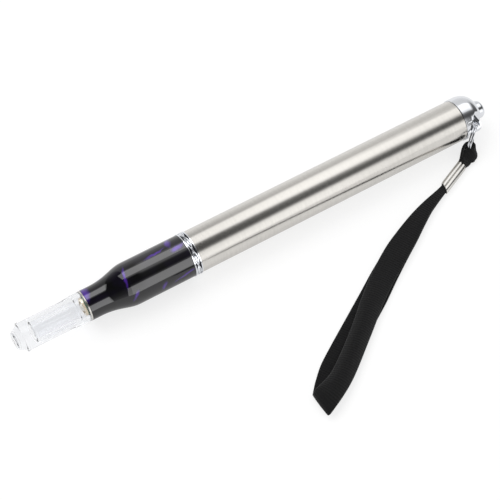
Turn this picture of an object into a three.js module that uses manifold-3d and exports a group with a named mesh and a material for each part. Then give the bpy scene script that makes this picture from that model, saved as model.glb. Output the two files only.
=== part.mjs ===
// Pen-shaped ultraviolet curing lamp with a webbing wrist strap.
//
// Millimetres. +X runs along the pen from the clear tip to the push button, +Z is up and the pen lies on
// z = 0. The pen's own pieces are turned about its axis; "s" is the distance along that axis from the tip.

import * as THREE from 'three';
import { mergeVertices } from 'three/addons/utils/BufferGeometryUtils.js';
import Module from 'manifold-3d';

const wasm = await Module();
wasm.setup();

// ---------------------------------------------------------------- sizes
const gap = 0.3;                  // air left between pieces that would touch
const slipFit = 0.15;             // radial clearance of a piece that is pushed into a bore

// two AA cells set the size of the tube
const cellRadius = 7.25;
const cellLength = 50.5;
const nubRadius = 2.75;
const nubLength = 1.3;
const crimp = 0.6;                // rounded shoulder at both ends of a cell

const tubeWall = 0.6;
const bushGrip = 4.5;             // how far the bush reaches into the tube
const bushReach = 5.6;            // and into the nose
const bushWall = 1.2;
const bushStep = 0.65;            // shoulder that traps the trim ring

// clear light guide
const exitRadius = 3.0;
const tipCone = 3.1;
const coneRadius = 4.8;
const flangeRadius = 5.475;
const flangeThickness = 0.75;
const guideRadius = 5.225;
const guideBody = 17.05;
const footCone = 2.6;
const footRadius = 5.625;
const footLength = 3.9;
const spigotRadius = 4.5;
const spigotLength = 4.5;
const emitterBore = 3.7;          // bore that receives the emitter
const emitterDepth = 3.0;         // and its depth in front of the foot's end
const fluteRadius = 3.1;          // fluted blind bore that spreads the light
const fluteDepth = 0.09;          // share of the radius that a flute rises and falls
const fluteCount = 10;
const fluteLength = 16.0;
const drillPoint = 1.5;

// pale rim, nose and trim ring
const rimThickness = 0.6;
const neckRadius = 5.7;
const neckLength = 3.5;
const shoulderLength = 14.2;
const noseProud = 0.1;           // how far the nose stands above the tube
const noseLength = 39.8;
const slugDepth = 12.9;           // step in the nose that the heat slug seats on
const noseBore = 6.2;
const ringProud = 0.3;           // how far the trim ring stands above the tube
const ringWidth = 2.9;
const rimWidth = 0.42;            // plain rims either side of the braid
const strandRadius = 0.4;
const strandSwing = 0.62;         // how far a strand wanders to each side
const strandLift = 0.2;           // how far it climbs over the other one
const braidEyes = 8;
const braidTurn = -25;           // degrees from the top to a crossing

// emitter, board, slug, driver
const ledRadius = 1.7;
const ledHeight = 1.5;
const boardThickness = 0.8;
const retainerThickness = 0.9;
const retainerWall = 1.1;
const slugFlange = 3.0;
const leadRadius = 0.35;
const leadOffset = 2.2;
const driverThickness = 1.6;

// contacts
const cupLength = 8.9;
const recessRadius = 3.4;
const contactRadius = 3.0;
const contactThickness = 0.8;
const stemRadius = 1.1;
const springLength = 3.8;
const springRadius = 4.0;
const springWire = 0.35;
const springTurns = 3;
const plateThickness = 0.5;

// tail cap and switch
const capProud = 0.3;            // how far the cap stands above the tube
const capBand = 2.7;
const domeLength = 5.9;
const domeEnd = 4.4;
const shankLength = 8.7;
const shankFit = 0.25;
const shankBore = 5.9;
const flangeBore = 4.9;
const flangeRoom = 2.9;
const sealRadius = 0.4;
const sealGroove = 1.2;
const sealPlace = 1.8;            // from the cap's shoulder to the seal
const switchLength = 4.5;
const switchFit = 0.4;
const switchRingLength = 1.7;
const switchRingWall = 1.0;
const plungerRadius = 1.4;
const buttonRadius = 3.45;
const buttonProud = 3.7;
const buttonCrown = 1.9;
const buttonTop = 1.3;
const buttonFlange = 1.0;
const travel = 1.5;

// lanyard eye of the cap, in plan round the pen's axis
const eyeBack = 3.1;              // from the cap's end back to the hole
const eyeOut = 6.0;               // from the pen's axis out to the hole
const eyeHole = 1.4;
const eyeRound = 2.1;
const webThickness = 1.6;
const notchFloor = 4.2;
const notchRoom = 0.77;           // air between the split ring and the notch's wall
const notchTurn = 2.5;            // degrees the notch opens beyond the split ring

// split ring and strap
const splitRadius = 4.87;
const splitWire = 0.36;
const coilShift = 0.42;
const splitDrop = 3.05;           // centre of the ring below the web
const splitTurn = 219.5;           // degrees, the way it leans out from the cap
const jogHalf = 36;               // degrees taken by the step from coil to coil
const strapEyeRadius = 3.2;
const strapEyeHole = 1.8;
const strapEyeThickness = 2.0;
const lobeRadius = 1.4;
const lobeOffset = 0.7;
const sleeveLength = 13.6;
const sleeveSkew = 35;            // degrees that its ends slant
const sleeveBack = 6.32;          // from the eye's middle along the sleeve to its upper mouth
const sleeveAside = 1.24;         // and across it
const lowerGrip = 3.5;            // how far the lower and upper end of the loop reach into it
const upperGrip = 8.4;
const sleeveBoreHalfHeight = 0.95;
const sleeveBoreHalfWidth = 1.8;
const webbing = 1.2;              // thickness of the strap
const pinched = 0.65;             // and where the ferrule crimps it

const SEG = 40;                   // facets round the visible turned pieces
const INNER = 24;                 // and round the hidden ones

// ---------------------------------------------------------------- stations along the axis
const tubeBore = cellRadius + slipFit;
const tubeRadius = tubeBore + tubeWall;
const noseRadius = tubeRadius + noseProud;
const ringRadius = tubeRadius + ringProud;
const capRadius = tubeRadius + capProud;

const coneEnd = tipCone;
const flangeEnd = coneEnd + flangeThickness;
const bodyEnd = flangeEnd + guideBody;
const footStart = bodyEnd + footCone;
const footEnd = footStart + footLength;
const seam = footEnd + rimThickness;
const noseEnd = seam + noseLength;
const tubeStart = noseEnd + ringWidth;
const bushEnd = tubeStart + bushGrip;
const cellStart = bushEnd + gap;                      // front face of the front cell's body
const cellBody = cellLength - nubLength;
const secondCell = cellStart + cellBody + gap + nubLength;
const cellsEnd = secondCell + cellBody;
const springStart = cellsEnd + gap;
const springEnd = springStart + springLength;
const plateStart = springEnd + gap;
const switchStart = plateStart + plateThickness + gap;
const switchEnd = switchStart + switchLength;
const tubeEnd = switchEnd + gap;
const domeStart = tubeEnd + capBand;
const capEnd = domeStart + domeLength;
const lampLength = capEnd + buttonProud;

const axisHeight = Math.max(ringRadius, capRadius);

// ---------------------------------------------------------------- helpers
const lampGroup = new THREE.Group();
const pen = new THREE.Group();
pen.position.set(-lampLength / 2, 0, axisHeight);
lampGroup.add(pen);

function look(color, roughness, metalness, extra = {}) {
  return new THREE.MeshStandardMaterial({ color, roughness, metalness, ...extra });
}

const clearAcrylic = { color: 0xe8ebf2, roughness: 0.06, metalness: 0, transparent: true, opacity: 0.35 };
const looks = {
  acrylic: () => new THREE.MeshStandardMaterial(clearAcrylic),
  resin: () => look(0x2a2233, 0.08, 0),
  chrome: () => look(0xd9dadd, 0.08, 1),
  brushed: () => look(0xbdb9b1, 0.32, 1),
  brass: () => look(0xb98d4c, 0.3, 1),
  aluminium: () => look(0xb8babd, 0.4, 1),
  board: () => look(0x1f5a3a, 0.5, 0),
  blackPlastic: () => look(0x1b1b1d, 0.5, 0),
  cell: () => look(0x8f9296, 0.35, 0.8),
  emitter: () => look(0xe9dc9a, 0.3, 0),
  copper: () => look(0xb06a3c, 0.35, 1),
  rubber: () => look(0x161616, 0.8, 0),
  webbing: () => look(0x141416, 0.85, 0),
};

function named(name, geometry, material, parent = pen) {
  const mesh = new THREE.Mesh(geometry, material);
  mesh.name = name;
  parent.add(mesh);
  return mesh;
}

// A profile of [s, r] points turned about the pen's axis, flutes in the points that have a third number.
function turn(profile, segments = SEG, flutes = 0) {
  const points = profile.map(([s, r]) => new THREE.Vector2(r, s));
  const geometry = new THREE.LatheGeometry(points, segments);
  const place = geometry.attributes.position;
  for (let i = 0; i <= segments; i += 1) {
    for (let j = 0; j < profile.length; j += 1) {
      const depth = profile[j][2] ?? 0;
      const k = i * profile.length + j;
      const scale = 1 + depth * Math.cos((i / segments) * flutes * 2 * Math.PI);
      place.setX(k, place.getX(k) * scale);
      place.setZ(k, place.getZ(k) * scale);
    }
  }
  return geometry.rotateZ(-Math.PI / 2);
}

// A closed ring section: outer radii going along, inner radii coming back.
function sleeve(from, to, outer, inner, edge = 0) {
  return [
    [from, inner],
    [from, outer - edge],
    ...(edge ? [[from + edge, outer], [to - edge, outer]] : []),
    [to, outer - (edge ? edge : 0)],
    [to, inner],
    [from, inner],
  ];
}

function disc(from, to, radius, edge = 0) {
  return [
    [from, 0],
    [from, radius - edge],
    ...(edge ? [[from + edge, radius], [to - edge, radius]] : []),
    [to, radius - edge],
    [to, 0],
  ];
}

function solidOf(geometry) {
  const bare = geometry.clone();
  bare.deleteAttribute('normal');
  bare.deleteAttribute('uv');
  const merged = mergeVertices(bare, 1e-4);
  const corner = merged.index.array;
  const kept = [];
  for (let i = 0; i < corner.length; i += 3) {
    const [a, b, c] = [corner[i], corner[i + 1], corner[i + 2]];
    if (a !== b && b !== c && c !== a) kept.push(a, b, c);
  }
  const vertProperties = new Float32Array(merged.attributes.position.array);
  return new wasm.Manifold(new wasm.Mesh({ numProp: 3, vertProperties, triVerts: new Uint32Array(kept) }));
}

function geometryOf(solid) {
  const mesh = solid.getMesh();
  const geometry = new THREE.BufferGeometry();
  geometry.setAttribute('position', new THREE.BufferAttribute(new Float32Array(mesh.vertProperties), 3));
  geometry.setIndex(new THREE.BufferAttribute(new Uint32Array(mesh.triVerts), 1));
  geometry.computeVertexNormals();
  return geometry;
}

// A flat outline in plan, raised from one height to another.
function plate(outline, from, to) {
  const shape = new THREE.Shape(outline.map(([x, y]) => new THREE.Vector2(x, y)));
  const geometry = new THREE.ExtrudeGeometry(shape, { depth: to - from, bevelEnabled: false });
  return geometry.translate(0, 0, from);
}

function rod(radius, from, to, sides, y = 0, z = 0) {
  const geometry = new THREE.CylinderGeometry(radius, radius, to - from, sides);
  return geometry.rotateZ(-Math.PI / 2).translate((from + to) / 2, y, z);
}

function arc(cx, cy, radius, fromDegrees, toDegrees, steps) {
  const points = [];
  for (let i = 0; i <= steps; i += 1) {
    const a = THREE.MathUtils.degToRad(fromDegrees + ((toDegrees - fromDegrees) * i) / steps);
    points.push([cx + radius * Math.cos(a), cy + radius * Math.sin(a)]);
  }
  return points;
}

function roundSection(radius, sides) {
  return new THREE.Shape(arc(0, 0, radius, 0, 360 - 360 / sides, sides - 1)
    .map(([x, y]) => new THREE.Vector2(x, y)));
}

class Path extends THREE.Curve {
  constructor(at) {
    super();
    this.at = at;
  }

  getPoint(t, target = new THREE.Vector3()) {
    return target.copy(this.at(t));
  }
}

// ---------------------------------------------------------------- light guide
const boreStart = footEnd - emitterDepth;
const fluteEnd = boreStart - 0.5;
const fluteStart = fluteEnd - fluteLength;
named('light_guide', turn([
  [0, 0],
  [0, exitRadius],
  [coneEnd, coneRadius],
  [coneEnd, flangeRadius],
  [flangeEnd, flangeRadius],
  [flangeEnd, guideRadius],
  [bodyEnd, guideRadius],
  [footStart, footRadius],
  [footEnd, footRadius],
  [footEnd, spigotRadius],
  [footEnd + spigotLength, spigotRadius],
  [footEnd + spigotLength, emitterBore],
  [boreStart, emitterBore],
  [fluteEnd, fluteRadius, fluteDepth],
  [fluteStart, fluteRadius, fluteDepth],
  [fluteStart - drillPoint, 0],
], SEG, fluteCount), looks.acrylic());

// ---------------------------------------------------------------- emitter in its retainer
const boardStart = seam - boardThickness;
const boardRadius = emitterBore - 2 * slipFit;
const retainerStart = boardStart - retainerThickness;
named('uv_led', turn([
  [boardStart - ledHeight, 0],
  [boardStart - ledHeight, ledRadius * 0.45],
  [boardStart - ledHeight * 0.8, ledRadius * 0.8],
  [boardStart - ledHeight * 0.4, ledRadius],
  [boardStart, ledRadius],
  [boardStart, 0],
], INNER), looks.emitter());
named('led_retainer', turn(sleeve(retainerStart, boardStart, boardRadius, boardRadius - retainerWall), INNER),
  looks.brass());
named('led_board', turn(disc(boardStart, seam, boardRadius), INNER), looks.board());

// ---------------------------------------------------------------- rim and nose
const noseNeckBore = spigotRadius + slipFit;
const slugSeat = seam + slugDepth;
const bushRadius = tubeBore - slipFit;
const bushFront = bushRadius - bushStep;
const bushSocket = bushFront + slipFit;
const bushStart = noseEnd - bushReach;
named('guide_rim', turn(sleeve(footEnd, seam, neckRadius, noseNeckBore)), looks.brushed());

const shoulder = new THREE.CubicBezierCurve(
  new THREE.Vector2(seam + neckLength, neckRadius),
  new THREE.Vector2(seam + neckLength + shoulderLength * 0.493, neckRadius + 0.05),
  new THREE.Vector2(seam + neckLength + shoulderLength * 0.704, noseRadius + 0.05),
  new THREE.Vector2(seam + neckLength + shoulderLength, noseRadius),
).getPoints(12).map((p) => [p.x, p.y]);
named('nose_barrel', turn([
  [seam, noseNeckBore],
  [seam, neckRadius],
  ...shoulder,
  [noseEnd, noseRadius],
  [noseEnd, bushSocket],
  [bushStart - gap, bushSocket],
  [bushStart - gap, noseBore],
  [slugSeat, noseBore],
  [slugSeat, noseNeckBore],
  [seam, noseNeckBore],
]), looks.resin());

// ---------------------------------------------------------------- heat slug, leads, driver
const driverEnd = bushStart - gap;
const driverStart = driverEnd - driverThickness;
const bossRadius = emitterBore - 0.25;
const slugRadius = noseNeckBore - slipFit;
const slug = solidOf(turn([
  [seam, 0],
  [seam, bossRadius],
  [footEnd + spigotLength + gap, bossRadius],
  [footEnd + spigotLength + gap, slugRadius],
  [slugSeat, slugRadius],
  [slugSeat, noseBore - slipFit],
  [slugSeat + slugFlange, noseBore - slipFit],
  [slugSeat + slugFlange, 0],
], INNER));
const sides = [['led_lead_left', -leadOffset], ['led_lead_right', leadOffset]];
const channels = sides.map(([, y]) => solidOf(
  rod(leadRadius + slipFit, seam - 1, slugSeat + slugFlange + 1, 10, y)));
named('heat_slug', geometryOf(channels.reduce((body, cut) => body.subtract(cut), slug)), looks.aluminium());
for (const [name, y] of sides) {
  named(name, rod(leadRadius, seam, driverStart, 8, y), looks.copper());
}
named('driver_board', turn(disc(driverStart, driverEnd, noseBore - 2 * slipFit), INNER), looks.board());

// ---------------------------------------------------------------- braided trim ring and bush
const braidMiddle = noseEnd + ringWidth / 2;
const strandCentre = ringRadius - strandRadius - strandLift - 0.04;
const grooveFloor = strandCentre - strandRadius * 0.5;
const ringBody = solidOf(turn([
  [noseEnd, bushSocket],
  [noseEnd, ringRadius - 0.12],
  [noseEnd + 0.12, ringRadius],
  [noseEnd + rimWidth, ringRadius],
  [noseEnd + rimWidth + 0.08, grooveFloor],
  [tubeStart - rimWidth - 0.08, grooveFloor],
  [tubeStart - rimWidth, ringRadius],
  [tubeStart - 0.12, ringRadius],
  [tubeStart, ringRadius - 0.12],
  [tubeStart, bushSocket],
  [noseEnd, bushSocket],
]));
const strands = [1, -1].map((side) => {
  const path = new Path((t) => {
    const round = t * 2 * Math.PI;
    const wave = ((round - THREE.MathUtils.degToRad(braidTurn)) * braidEyes) / 2;
    const r = strandCentre + side * strandLift * Math.cos(wave);
    const s = braidMiddle - side * strandSwing * Math.sin(wave);
    return new THREE.Vector3(s, r * Math.sin(round), r * Math.cos(round));
  });
  return solidOf(new THREE.TubeGeometry(path, braidEyes * 10, strandRadius, 6, true));
});
named('trim_ring', geometryOf(strands.reduce((body, strand) => body.add(strand), ringBody)), looks.chrome());

const bushBore = bushFront - bushWall;
named('nose_bush', turn([
  [bushStart, bushBore],
  [bushStart, bushFront],
  [tubeStart, bushFront],
  [tubeStart, bushRadius],
  [bushEnd, bushRadius],
  [bushEnd, bushBore],
  [bushStart, bushBore],
], INNER), looks.brass());

// ---------------------------------------------------------------- tube, contacts and cells
named('body_tube', turn(sleeve(tubeStart, tubeEnd, tubeRadius, tubeBore, 0.12)), looks.brushed());

const nubStart = cellStart - nubLength;
const contactEnd = nubStart - gap;
const contactStart = contactEnd - contactThickness;
const cupEnd = bushEnd - gap;
const cupStart = cupEnd - cupLength;
named('contact_cup', turn([
  [cupStart, stemRadius + 2 * slipFit],
  [cupStart, bushBore - slipFit],
  [cupEnd, bushBore - slipFit],
  [cupEnd, recessRadius],
  [contactStart - gap, recessRadius],
  [contactStart - gap, stemRadius + 2 * slipFit],
  [cupStart, stemRadius + 2 * slipFit],
], INNER), looks.blackPlastic());
named('front_contact', turn([
  [driverEnd, 0],
  [driverEnd, stemRadius],
  [contactStart, stemRadius],
  [contactStart, contactRadius],
  [contactEnd, contactRadius],
  [contactEnd, 0],
], INNER), looks.brass());
for (const [name, start] of [['cell_front', cellStart], ['cell_rear', secondCell]]) {
  named(name, turn([
    [start - nubLength, 0],
    [start - nubLength, nubRadius],
    [start, nubRadius],
    [start, cellRadius - crimp],
    [start + crimp, cellRadius],
    [start + cellBody - crimp, cellRadius],
    [start + cellBody, cellRadius - crimp],
    [start + cellBody, 0],
  ], INNER), looks.cell());
}

// ---------------------------------------------------------------- tail cap
const shankRadius = tubeBore - shankFit;
const grooveRadius = shankRadius - 2 * sealRadius + 0.05;
const sealMiddle = tubeEnd - sealPlace;
const dome = [];
for (let i = 0; i <= 8; i += 1) {
  const a = (i / 8) * (Math.PI / 2);
  const r = domeEnd + (capRadius - domeEnd) * Math.cos(a);
  dome.push([domeStart + domeLength * Math.sin(a), r]);
}
const shankStart = tubeEnd - shankLength;
const buttonBore = buttonRadius + slipFit;
const capOutside = solidOf(turn([
  [shankStart, 0],
  [shankStart, shankRadius - 0.3],
  [shankStart + 0.3, shankRadius],
  [sealMiddle - sealGroove / 2, shankRadius],
  [sealMiddle - sealGroove / 2, grooveRadius],
  [sealMiddle + sealGroove / 2, grooveRadius],
  [sealMiddle + sealGroove / 2, shankRadius],
  [tubeEnd, shankRadius],
  [tubeEnd, capRadius],
  ...dome,
  [capEnd, 0],
]));
const capInside = solidOf(turn([
  [shankStart - 1, 0],
  [shankStart - 1, shankBore],
  [tubeEnd, shankBore],
  [tubeEnd, flangeBore],
  [tubeEnd + flangeRoom, flangeBore],
  [tubeEnd + flangeRoom, buttonBore],
  [capEnd + 1, buttonBore],
  [capEnd + 1, 0],
]));

// The lanyard eye: a notch slanted along the split ring, with a thin web left across it at the middle.
const holeS = capEnd - eyeBack;
const notchLean = THREE.MathUtils.degToRad(splitTurn - 180 + notchTurn);
const slant = Math.tan(notchLean);
const wallAtFloor = holeS - (coilShift + splitWire + notchRoom - (eyeOut - notchFloor) * Math.cos(notchLean))
  / Math.sin(notchLean);
const far = capRadius + 1.3;
const notch = [
  [wallAtFloor - (far - notchFloor) / slant, -far],
  [capEnd + 1, -far],
  [capEnd + 1, -notchFloor],
  [wallAtFloor, -notchFloor],
];
const web = [
  [tubeEnd + 0.6, -(notchFloor - 0.2)],
  [tubeEnd + 0.6, -(eyeOut + eyeRound - 0.05)],
  ...arc(holeS, -eyeOut, eyeRound, 270, 360, 8),
  [holeS + eyeRound, -(notchFloor - 0.2)],
];
const hole = new THREE.CylinderGeometry(eyeHole, eyeHole, 4 * webThickness, 20).rotateX(Math.PI / 2)
  .translate(holeS, -eyeOut, 0);
const tailCap = capOutside
  .subtract(solidOf(plate(notch, -capRadius - 1, capRadius + 1)))
  .add(solidOf(plate(web, -webThickness / 2, webThickness / 2)))
  .subtract(solidOf(hole))
  .subtract(capInside);
named('tail_cap', geometryOf(tailCap), looks.chrome());

const sealCentre = (grooveRadius + tubeBore) / 2;
const seal = [];
for (let i = 0; i <= 8; i += 1) {
  const a = -(i / 8) * 2 * Math.PI;
  seal.push([sealMiddle + sealRadius * Math.cos(a), sealCentre + sealRadius * 0.9 * Math.sin(a)]);
}
seal[8] = seal[0];
named('cap_seal', turn(seal, INNER), looks.rubber());

// ---------------------------------------------------------------- switch, spring and button
const turns = new Path((t) => {
  const a = t * springTurns * 2 * Math.PI;
  const s = springStart + springWire + t * (springLength - 2 * springWire);
  return new THREE.Vector3(s, springRadius * Math.cos(a), springRadius * Math.sin(a));
});
named('cell_spring', new THREE.ExtrudeGeometry(roundSection(springWire, 6), {
  steps: springTurns * 16,
  extrudePath: turns,
  bevelEnabled: false,
}), looks.brushed());
named('switch_ring', turn(sleeve(springEnd + 0.1 - switchRingLength, springEnd + 0.1,
  shankBore - slipFit, shankBore - slipFit - switchRingWall), INNER), looks.brass());
named('spring_plate', turn(disc(plateStart, plateStart + plateThickness, shankBore - 2 * slipFit), INNER),
  looks.brass());

const flangeFront = tubeEnd + flangeRoom - gap;
const flangeBack = flangeFront - buttonFlange;
const plungerEnd = flangeBack - gap;
const plungerStart = switchEnd - 1.9;
named('switch_body', turn([
  [switchStart, 0],
  [switchStart, shankBore - switchFit],
  [switchEnd, shankBore - switchFit],
  [switchEnd, plungerRadius + gap],
  [plungerStart - travel - gap, plungerRadius + gap],
  [plungerStart - travel - gap, 0],
], INNER), looks.blackPlastic());
named('switch_plunger', turn(disc(plungerStart, plungerEnd, plungerRadius), INNER), looks.blackPlastic());

const crown = [];
const crownStart = lampLength - buttonCrown;
for (let i = 0; i <= 6; i += 1) {
  const a = (i / 6) * (Math.PI / 2);
  const r = buttonTop + (buttonRadius - buttonTop) * Math.cos(a);
  crown.push([crownStart + buttonCrown * Math.sin(a), r]);
}
named('push_button', turn([
  [flangeBack, 0],
  [flangeBack, flangeBore - gap],
  [flangeFront, flangeBore - gap],
  [flangeFront, buttonRadius],
  ...crown,
  [lampLength, 0],
]), looks.chrome());

// ---------------------------------------------------------------- split ring
// It passes through the lanyard eye; its local X leans out and away from the cap and its plane is upright.
const reach = Math.sqrt(splitRadius ** 2 - splitDrop ** 2);
const lean = THREE.MathUtils.degToRad(splitTurn);
const leanX = Math.cos(lean);
const leanY = Math.sin(lean);
const holeX = holeS - lampLength / 2;
const split = new THREE.Group();
split.position.set(holeX + reach * leanX, -eyeOut + reach * leanY, axisHeight - splitDrop);
split.rotation.z = lean;
lampGroup.add(split);
const ease = (t) => t * t * (3 - 2 * t);
const wire = new Path((t) => {
  const along = jogHalf + t * (720 - 2 * jogHalf);
  const over = THREE.MathUtils.clamp((along - 360 + jogHalf) / (2 * jogHalf), 0, 1);
  const a = THREE.MathUtils.degToRad(along + 225);
  return new THREE.Vector3(splitRadius * Math.cos(a), coilShift * (2 * ease(over) - 1),
    splitRadius * Math.sin(a));
});
named('split_ring', new THREE.ExtrudeGeometry(roundSection(splitWire, 8), {
  steps: 64,
  extrudePath: wire,
  bevelEnabled: false,
}), looks.chrome(), split);

// ---------------------------------------------------------------- strap: eye, crimped sleeve, hand loop
// The eye's middle is where the split ring's wire goes down through it.
const strapEyeHeight = 2.15;
const below = axisHeight - splitDrop - strapEyeHeight;
const eyeReach = reach + Math.sqrt(splitRadius ** 2 - below ** 2);
const eyeX = holeX + eyeReach * leanX;
const eyeY = -eyeOut + eyeReach * leanY;
const sleeveTurn = THREE.MathUtils.degToRad(203.9);
const along = new THREE.Vector2(Math.cos(sleeveTurn), Math.sin(sleeveTurn));
const across = new THREE.Vector2(-along.y, along.x);
const eyeMiddle = new THREE.Vector2(eyeX, eyeY);
const mouth = eyeMiddle.clone().addScaledVector(along, sleeveBack).addScaledVector(across, sleeveAside);
const sleeveHeight = lobeRadius + 0.02;
const tailIn = 3.0;
const tailHalf = sleeveBoreHalfHeight - 0.2;
const tailWide = sleeveBoreHalfWidth - 0.4;
const skew = Math.tan(THREE.MathUtils.degToRad(sleeveSkew));
const lip = skew * (lobeOffset + lobeRadius);            // how far the slant carries one side of the mouth out

const offset = (from, a, c) => [from.x + along.x * a + across.x * c, from.y + along.y * a + across.y * c];
const strapTail = [
  offset(mouth, tailIn, -tailWide),
  offset(mouth, tailIn, tailWide),
  offset(mouth, -0.4, tailWide),
  offset(eyeMiddle, 1.2, strapEyeRadius - 0.7),
  offset(eyeMiddle, 1.2, -(strapEyeRadius - 0.7)),
  offset(mouth, -lip - 0.4, -tailWide),
];
const eyeRing = arc(eyeX, eyeY, strapEyeRadius, 0, 345, 23);
const eyeHoleCut = new THREE.CylinderGeometry(strapEyeHole, strapEyeHole, 12, 16).rotateX(Math.PI / 2)
  .translate(eyeX, eyeY, 2);
const orient = (outline) => (THREE.ShapeUtils.area(outline.map(([x, y]) => new THREE.Vector2(x, y))) < 0
  ? [...outline].reverse() : outline);
const strapEye = solidOf(plate(eyeRing, strapEyeHeight - strapEyeThickness / 2,
  strapEyeHeight + strapEyeThickness / 2))
  .add(solidOf(plate(orient(strapTail), sleeveHeight - tailHalf, sleeveHeight + tailHalf)))
  .subtract(solidOf(eyeHoleCut));
named('strap_eye', geometryOf(strapEye), looks.webbing(), lampGroup);

// Two crimped lobes side by side with one flat-sided hole through both.
const waist = THREE.MathUtils.radToDeg(Math.acos(lobeOffset / lobeRadius));
const lobes = new THREE.Shape([
  ...arc(0, lobeOffset, lobeRadius, -(90 - waist), 180 + (90 - waist), 12),
  ...arc(0, -lobeOffset, lobeRadius, 180 - (90 - waist), 360 + (90 - waist), 12),
].map(([x, y]) => new THREE.Vector2(x, y)));
const flat = sleeveBoreHalfWidth - sleeveBoreHalfHeight;
lobes.holes.push(new THREE.Path([
  ...arc(0, flat, sleeveBoreHalfHeight, 0, 180, 6),
  ...arc(0, -flat, sleeveBoreHalfHeight, 180, 360, 6),
].map(([x, y]) => new THREE.Vector2(x, y))));
const ferrule = new THREE.Group();
ferrule.position.set(mouth.x, mouth.y, sleeveHeight);
ferrule.rotation.z = sleeveTurn;
lampGroup.add(ferrule);
const slanted = new THREE.Matrix4().makeShear(0, 0, skew, 0, 0, 0);
named('strap_ferrule', geometryOf(solidOf(new THREE.ExtrudeGeometry(lobes, {
  depth: sleeveLength,
  bevelEnabled: false,
}).rotateY(Math.PI / 2).applyMatrix4(slanted))), looks.aluminium(), ferrule);

// The hand loop: out along the surface, round a soft fold and back on top. Each station is the middle of
// the webbing, the way across it in plan (degrees), half its width and its thickness.
const lowerMouth = mouth.clone().addScaledVector(along, sleeveLength);
const inside = (depth) => lowerMouth.clone().addScaledVector(along, -depth);
const pinch = (0.25 + pinched) / 2;
const low = inside(lowerGrip);
const high = inside(upperGrip);
const route = [
  [low.x, low.y, sleeveHeight - pinch, -66, 1.3, pinched],
  [lowerMouth.x, lowerMouth.y, sleeveHeight - pinch, -66, 1.35, pinched],
  [58.5, -23.7, 0.75, -66, 2.3, 1.0],
  [52.6, -26.4, 0.65, -64, 3.1, webbing],
  [45.2, -30.3, 0.65, -62, 3.95, webbing],
  [37.5, -34.5, 0.65, -60, 4.45, webbing],
  [28.4, -40.0, 0.65, -58, 4.8, webbing],
  [20.0, -45.5, 0.65, -58, 5.0, webbing],
  [9.3, -52.1, 0.65, -58, 5.0, webbing],
  [-1.4, -58.7, 0.65, -58, 5.0, webbing],
  [-8.1, -63.1, 0.65, -58, 5.0, webbing],
  [-13.0, -67.3, 0.66, -62, 5.0, webbing],
  [-17.2, -70.8, 0.95, -76, 4.9, webbing],
  [-19.2, -72.3, 2.4, -88, 4.8, webbing],
  [-17.2, -71.6, 3.85, -76, 4.7, webbing],
  [-12.8, -69.8, 4.0, -62, 4.3, webbing],
  [-7.2, -67.0, 3.8, -54, 3.9, webbing],
  [7.3, -56.3, 3.4, -52, 3.75, webbing],
  [19.2, -46.6, 2.7, -53, 4.05, webbing],
  [28.0, -40.3, 2.2, -57, 4.3, webbing],
  [37.5, -34.5, 2.15, -60, 4.45, webbing],
  [45.2, -30.3, 2.15, -62, 3.95, webbing],
  [52.6, -26.4, 2.15, -64, 3.1, webbing],
  [58.5, -23.7, 2.1, -66, 2.3, 1.0],
  [lowerMouth.x, lowerMouth.y, sleeveHeight + pinch, -66, 1.35, pinched],
  [high.x, high.y, sleeveHeight + pinch, -66, 1.3, pinched],
];
const middle = new THREE.CatmullRomCurve3(route.map(([x, y, z]) => new THREE.Vector3(x, y, z)));

const section = [[-1, -0.55], [-0.94, -1], [0.94, -1], [1, -0.55], [1, 0.55], [0.94, 1], [-0.94, 1], [-1, 0.55]];

function band(stations, rows) {
  const corners = [];
  for (let i = 0; i <= rows; i += 1) {
    const t = i / rows;
    const p = middle.getPoint(t);
    const dir = middle.getTangent(t);
    const f = t * (stations.length - 1);
    const k = Math.min(Math.floor(f), stations.length - 2);
    const mix = (n) => THREE.MathUtils.lerp(stations[k][n], stations[k + 1][n], ease(f - k));
    const a = THREE.MathUtils.degToRad(mix(3));
    const side = new THREE.Vector3(Math.cos(a), Math.sin(a), 0);
    const normal = new THREE.Vector3().crossVectors(side, dir).normalize();
    for (const [u, v] of section) {
      corners.push(p.clone().addScaledVector(side, u * mix(4)).addScaledVector(normal, (v * mix(5)) / 2));
    }
  }
  const n = section.length;
  const index = [];
  for (let i = 0; i < rows; i += 1) {
    for (let j = 0; j < n; j += 1) {
      const a = i * n + j;
      const b = i * n + ((j + 1) % n);
      index.push(a, b, b + n, a, b + n, a + n);
    }
  }
  for (let j = 1; j < n - 1; j += 1) {
    index.push(0, j + 1, j);
    index.push(rows * n, rows * n + j, rows * n + j + 1);
  }
  const geometry = new THREE.BufferGeometry().setFromPoints(corners);
  geometry.setIndex(index);
  return geometry;
}

function outward(geometry) {
  const place = geometry.attributes.position;
  const corner = geometry.index.array;
  let volume = 0;
  const [a, b, c] = [new THREE.Vector3(), new THREE.Vector3(), new THREE.Vector3()];
  for (let i = 0; i < corner.length; i += 3) {
    a.fromBufferAttribute(place, corner[i]);
    b.fromBufferAttribute(place, corner[i + 1]);
    c.fromBufferAttribute(place, corner[i + 2]);
    volume += a.dot(b.cross(c));
  }
  if (volume < 0) {
    for (let i = 0; i < corner.length; i += 3) {
      [corner[i + 1], corner[i + 2]] = [corner[i + 2], corner[i + 1]];
    }
  }
  geometry.computeVertexNormals();
  return geometry;
}
named('wrist_loop', outward(band(route, 75)), looks.webbing(), lampGroup);

export default lampGroup;
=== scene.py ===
# %% [markdown]
# # A pen-shaped curing lamp and its wrist strap
# The measured model is loaded first and never moved. Each piece below is built in the same place and in the
# same metres, so what looks like a big job is a row of small ones: a camera, a strap, some turned metal.

# %% Load the measured model
import math
import bmesh
import bpy
from mathutils import Matrix, Vector


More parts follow.
